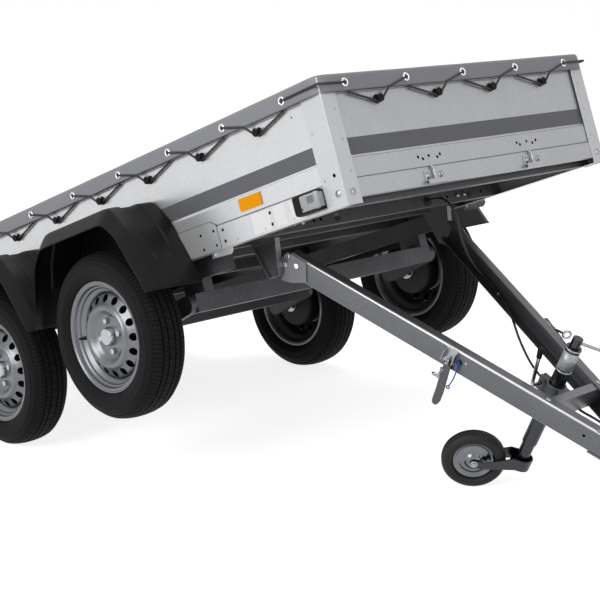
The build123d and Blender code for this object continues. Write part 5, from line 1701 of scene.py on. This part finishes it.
# Each lens: from, to, finish and slot
TAIL_LENSES = {
    "amber": (498, 564, orange_acrylic, "orange_reflector"),
    "red": (414, 496, red_acrylic, "red_lamp"),
    "clear": (352, 412, clear_lens, "clear_lens"),
}


def paired_blocks(name, low, high, radius, finish, slot):
    """A rounded block on each side of the bed, as one piece."""
    blocks = [rounded_block("block", *sided(low, high, side), radius, bed, finish) for side in (1, -1)]
    return joined(name, blocks, "bed")


trays = paired_blocks("tail_lamp_trays", (TRAY_FACE, 348, -36), (BED_REAR, 568, 56), 6, *PLASTIC)
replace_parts(trays, "tail_lamps")
for name, (start, end, *look) in TAIL_LENSES.items():
    paired_blocks(f"tail_lens_{name}", (TAIL_FACE, start, -31), (LENS_BACK, end, 51), 6, *look)
    rows = [(side, z) for z in range(-23, 48, 7) for side in (1, -1)]
    ridges = [[(TAIL_FACE, side * y, z) for y in (start + 7, end - 7)] for side, z in rows]
    set_cord(f"tail_prisms_{name}", ridges, 1.3, 0, *look, *ON_BED, sides=6)

# %% Toggle catches
TOGGLE_BLOCKS = [
    ((BED_REAR + 20, 612, 268), (BED_REAR + 58, 615, 338)),
    ((BED_REAR + 28, 614, 276), (BED_REAR + 50, 626, 296)),
    ((BED_REAR + 32, 621, 282), (BED_REAR + 46, 625, 352)),
    ((BED_REAR - 18, 618, 281), (BED_REAR + 30, 622, 291)),
    ((BED_REAR - 22, 612.5, 281), (BED_REAR - 16, 622, 291)),
]
STAPLE = [(606, 272), (616, 272), (616, 300), (606, 300)]
catch_parts = []
staples = []
for side in (1, -1):
    for low, high in TOGGLE_BLOCKS:
        catch_parts.append(rounded_block("catch part", *sided(low, high, side), 1.4, bed, bright_zinc))
    staples.append([(BED_REAR - 22, side * y, z) for y, z in STAPLE])
joined("tailgate_catches", catch_parts, "bed")
set_cord("tailgate_staples", staples, 2.5, 3, *ZINC, BODY_OF["tailgate_panel"], bed)

# %% [markdown]
# ## Stage
# A pale floor, a white surround and three large soft lamps. The key lamp stands on the trailer's right,
# which is the side that the camera sees lit.

# %% Rays that see the white surround


def seen_rays(tree):
    """Socket that is 1 for rays from the camera, a gloss or a clear part."""
    rays = add_node(tree, "ShaderNodeLightPath").outputs
    either = rays["Is Camera Ray"]
    for kind in ("Is Glossy Ray", "Is Transmission Ray"):
        either = add_node(tree, "ShaderNodeMath", {0: either, 1: rays[kind]}, operation="MAXIMUM").outputs[0]
    return either


# %% Floor
FLOOR_SIZE = 60.0
floor_mesh = bpy.data.meshes.new("floor")
corners = [(-1, -1), (1, -1), (1, 1), (-1, 1)]
floor_mesh.from_pydata([(x * FLOOR_SIZE, y * FLOOR_SIZE, 0) for x, y in corners], [], [(0, 1, 2, 3)])
floor = bpy.data.objects.new("floor", floor_mesh)
bpy.context.collection.objects.link(floor)
floor_paint, tree, shader, place = surface("studio floor, painted", roughness=0.9)
shader.inputs["Base Color"].default_value = linear("#8C8C8C")
seen = seen_rays(tree)
glow = add_node(tree, "ShaderNodeEmission", {"Color": (1, 1, 1, 1), "Strength": 0.82})
seen_floor = add_node(tree, "ShaderNodeBsdfDiffuse", {"Color": linear("#C0C0C0")})
bright = add_node(tree, "ShaderNodeAddShader", {0: glow.outputs[0], 1: seen_floor.outputs[0]})
either = add_node(tree, "ShaderNodeMixShader", {0: seen, 1: shader.outputs[0], 2: bright.outputs[0]})
tree.links.new(either.outputs[0], tree.nodes["Material Output"].inputs["Surface"])
floor_mesh.materials.append(floor_paint)
print("floor:", 2 * FLOOR_SIZE, "m wide")

# %% World and lamps
world = bpy.data.worlds.new("studio")
bpy.context.scene.world = world
world.use_nodes = True
tree = world.node_tree
soft = add_node(tree, "ShaderNodeBackground", {"Color": (1, 1, 1, 1), "Strength": 0.4})
white = add_node(tree, "ShaderNodeBackground", {"Color": (1, 1, 1, 1), "Strength": 1.0})
either = add_node(tree, "ShaderNodeMixShader", {0: seen_rays(tree), 1: soft.outputs[0], 2: white.outputs[0]})
tree.links.new(either.outputs[0], tree.nodes["World Output"].inputs["Surface"])


def soft_lamp(name, place, target, size, power):
    """A square area lamp that faces a target."""
    lamp = bpy.data.lights.new(name, "AREA")
    lamp.size = size
    lamp.energy = power
    lamp_object = bpy.data.objects.new(name, lamp)
    lamp_object.location = place
    lamp_object.rotation_euler = (Vector(target) - Vector(place)).to_track_quat("-Z", "Y").to_euler()
    bpy.context.collection.objects.link(lamp_object)


# Each lamp: place, target, size in metres and power in watts
LAMPS = {
    "key lamp": ((0.5, -6.0, 3.5), (0, 0, 0.8), 4.0, 300),
    "front lamp": ((6.0, 0.5, 3.0), (0.5, 0, 0.7), 3.0, 80),
    "top lamp": ((-1.0, 1.0, 6.0), (0, 0, 0.6), 4.0, 150),
}
for name, values in LAMPS.items():
    soft_lamp(name, *values)
print("lamps:", len(LAMPS))

# %% [markdown]
# The camera's place and turn were fitted to the photograph's edges in the bed's frame, with its focal
# length for a 36 mm sensor, so the bed's matrix carries it to where it stands.

# %% Camera
LENS = 86.4
SENSOR = 36
SHIFT = (0.001, 0.0103)
VIEW_PLACE = (3363, -3429, -241)
VIEW_RIGHT = (0.6498, 0.7183, -0.2486)
VIEW_DOWN = (-0.1865, -0.1665, -0.9683)
camera_data = bpy.data.cameras.new("camera")
camera_data.lens = LENS
camera_data.sensor_width = SENSOR
camera_data.shift_x, camera_data.shift_y = SHIFT
camera = bpy.data.objects.new("camera", camera_data)
bed_turn = bed.to_3x3().normalized()
right = (bed_turn @ Vector(VIEW_RIGHT)).normalized()
up = -(bed_turn @ Vector(VIEW_DOWN))
up = (up - right * up.dot(right)).normalized()
back = right.cross(up)
view_turn = Matrix((right, up, back)).transposed().to_4x4()
camera.matrix_world = Matrix.Translation(bed @ Vector(VIEW_PLACE)) @ view_turn
bpy.context.collection.objects.link(camera)
bpy.context.scene.camera = camera
bpy.context.scene.view_settings.view_transform = "Standard"
print("camera at", [round(v, 2) for v in camera.matrix_world.translation])
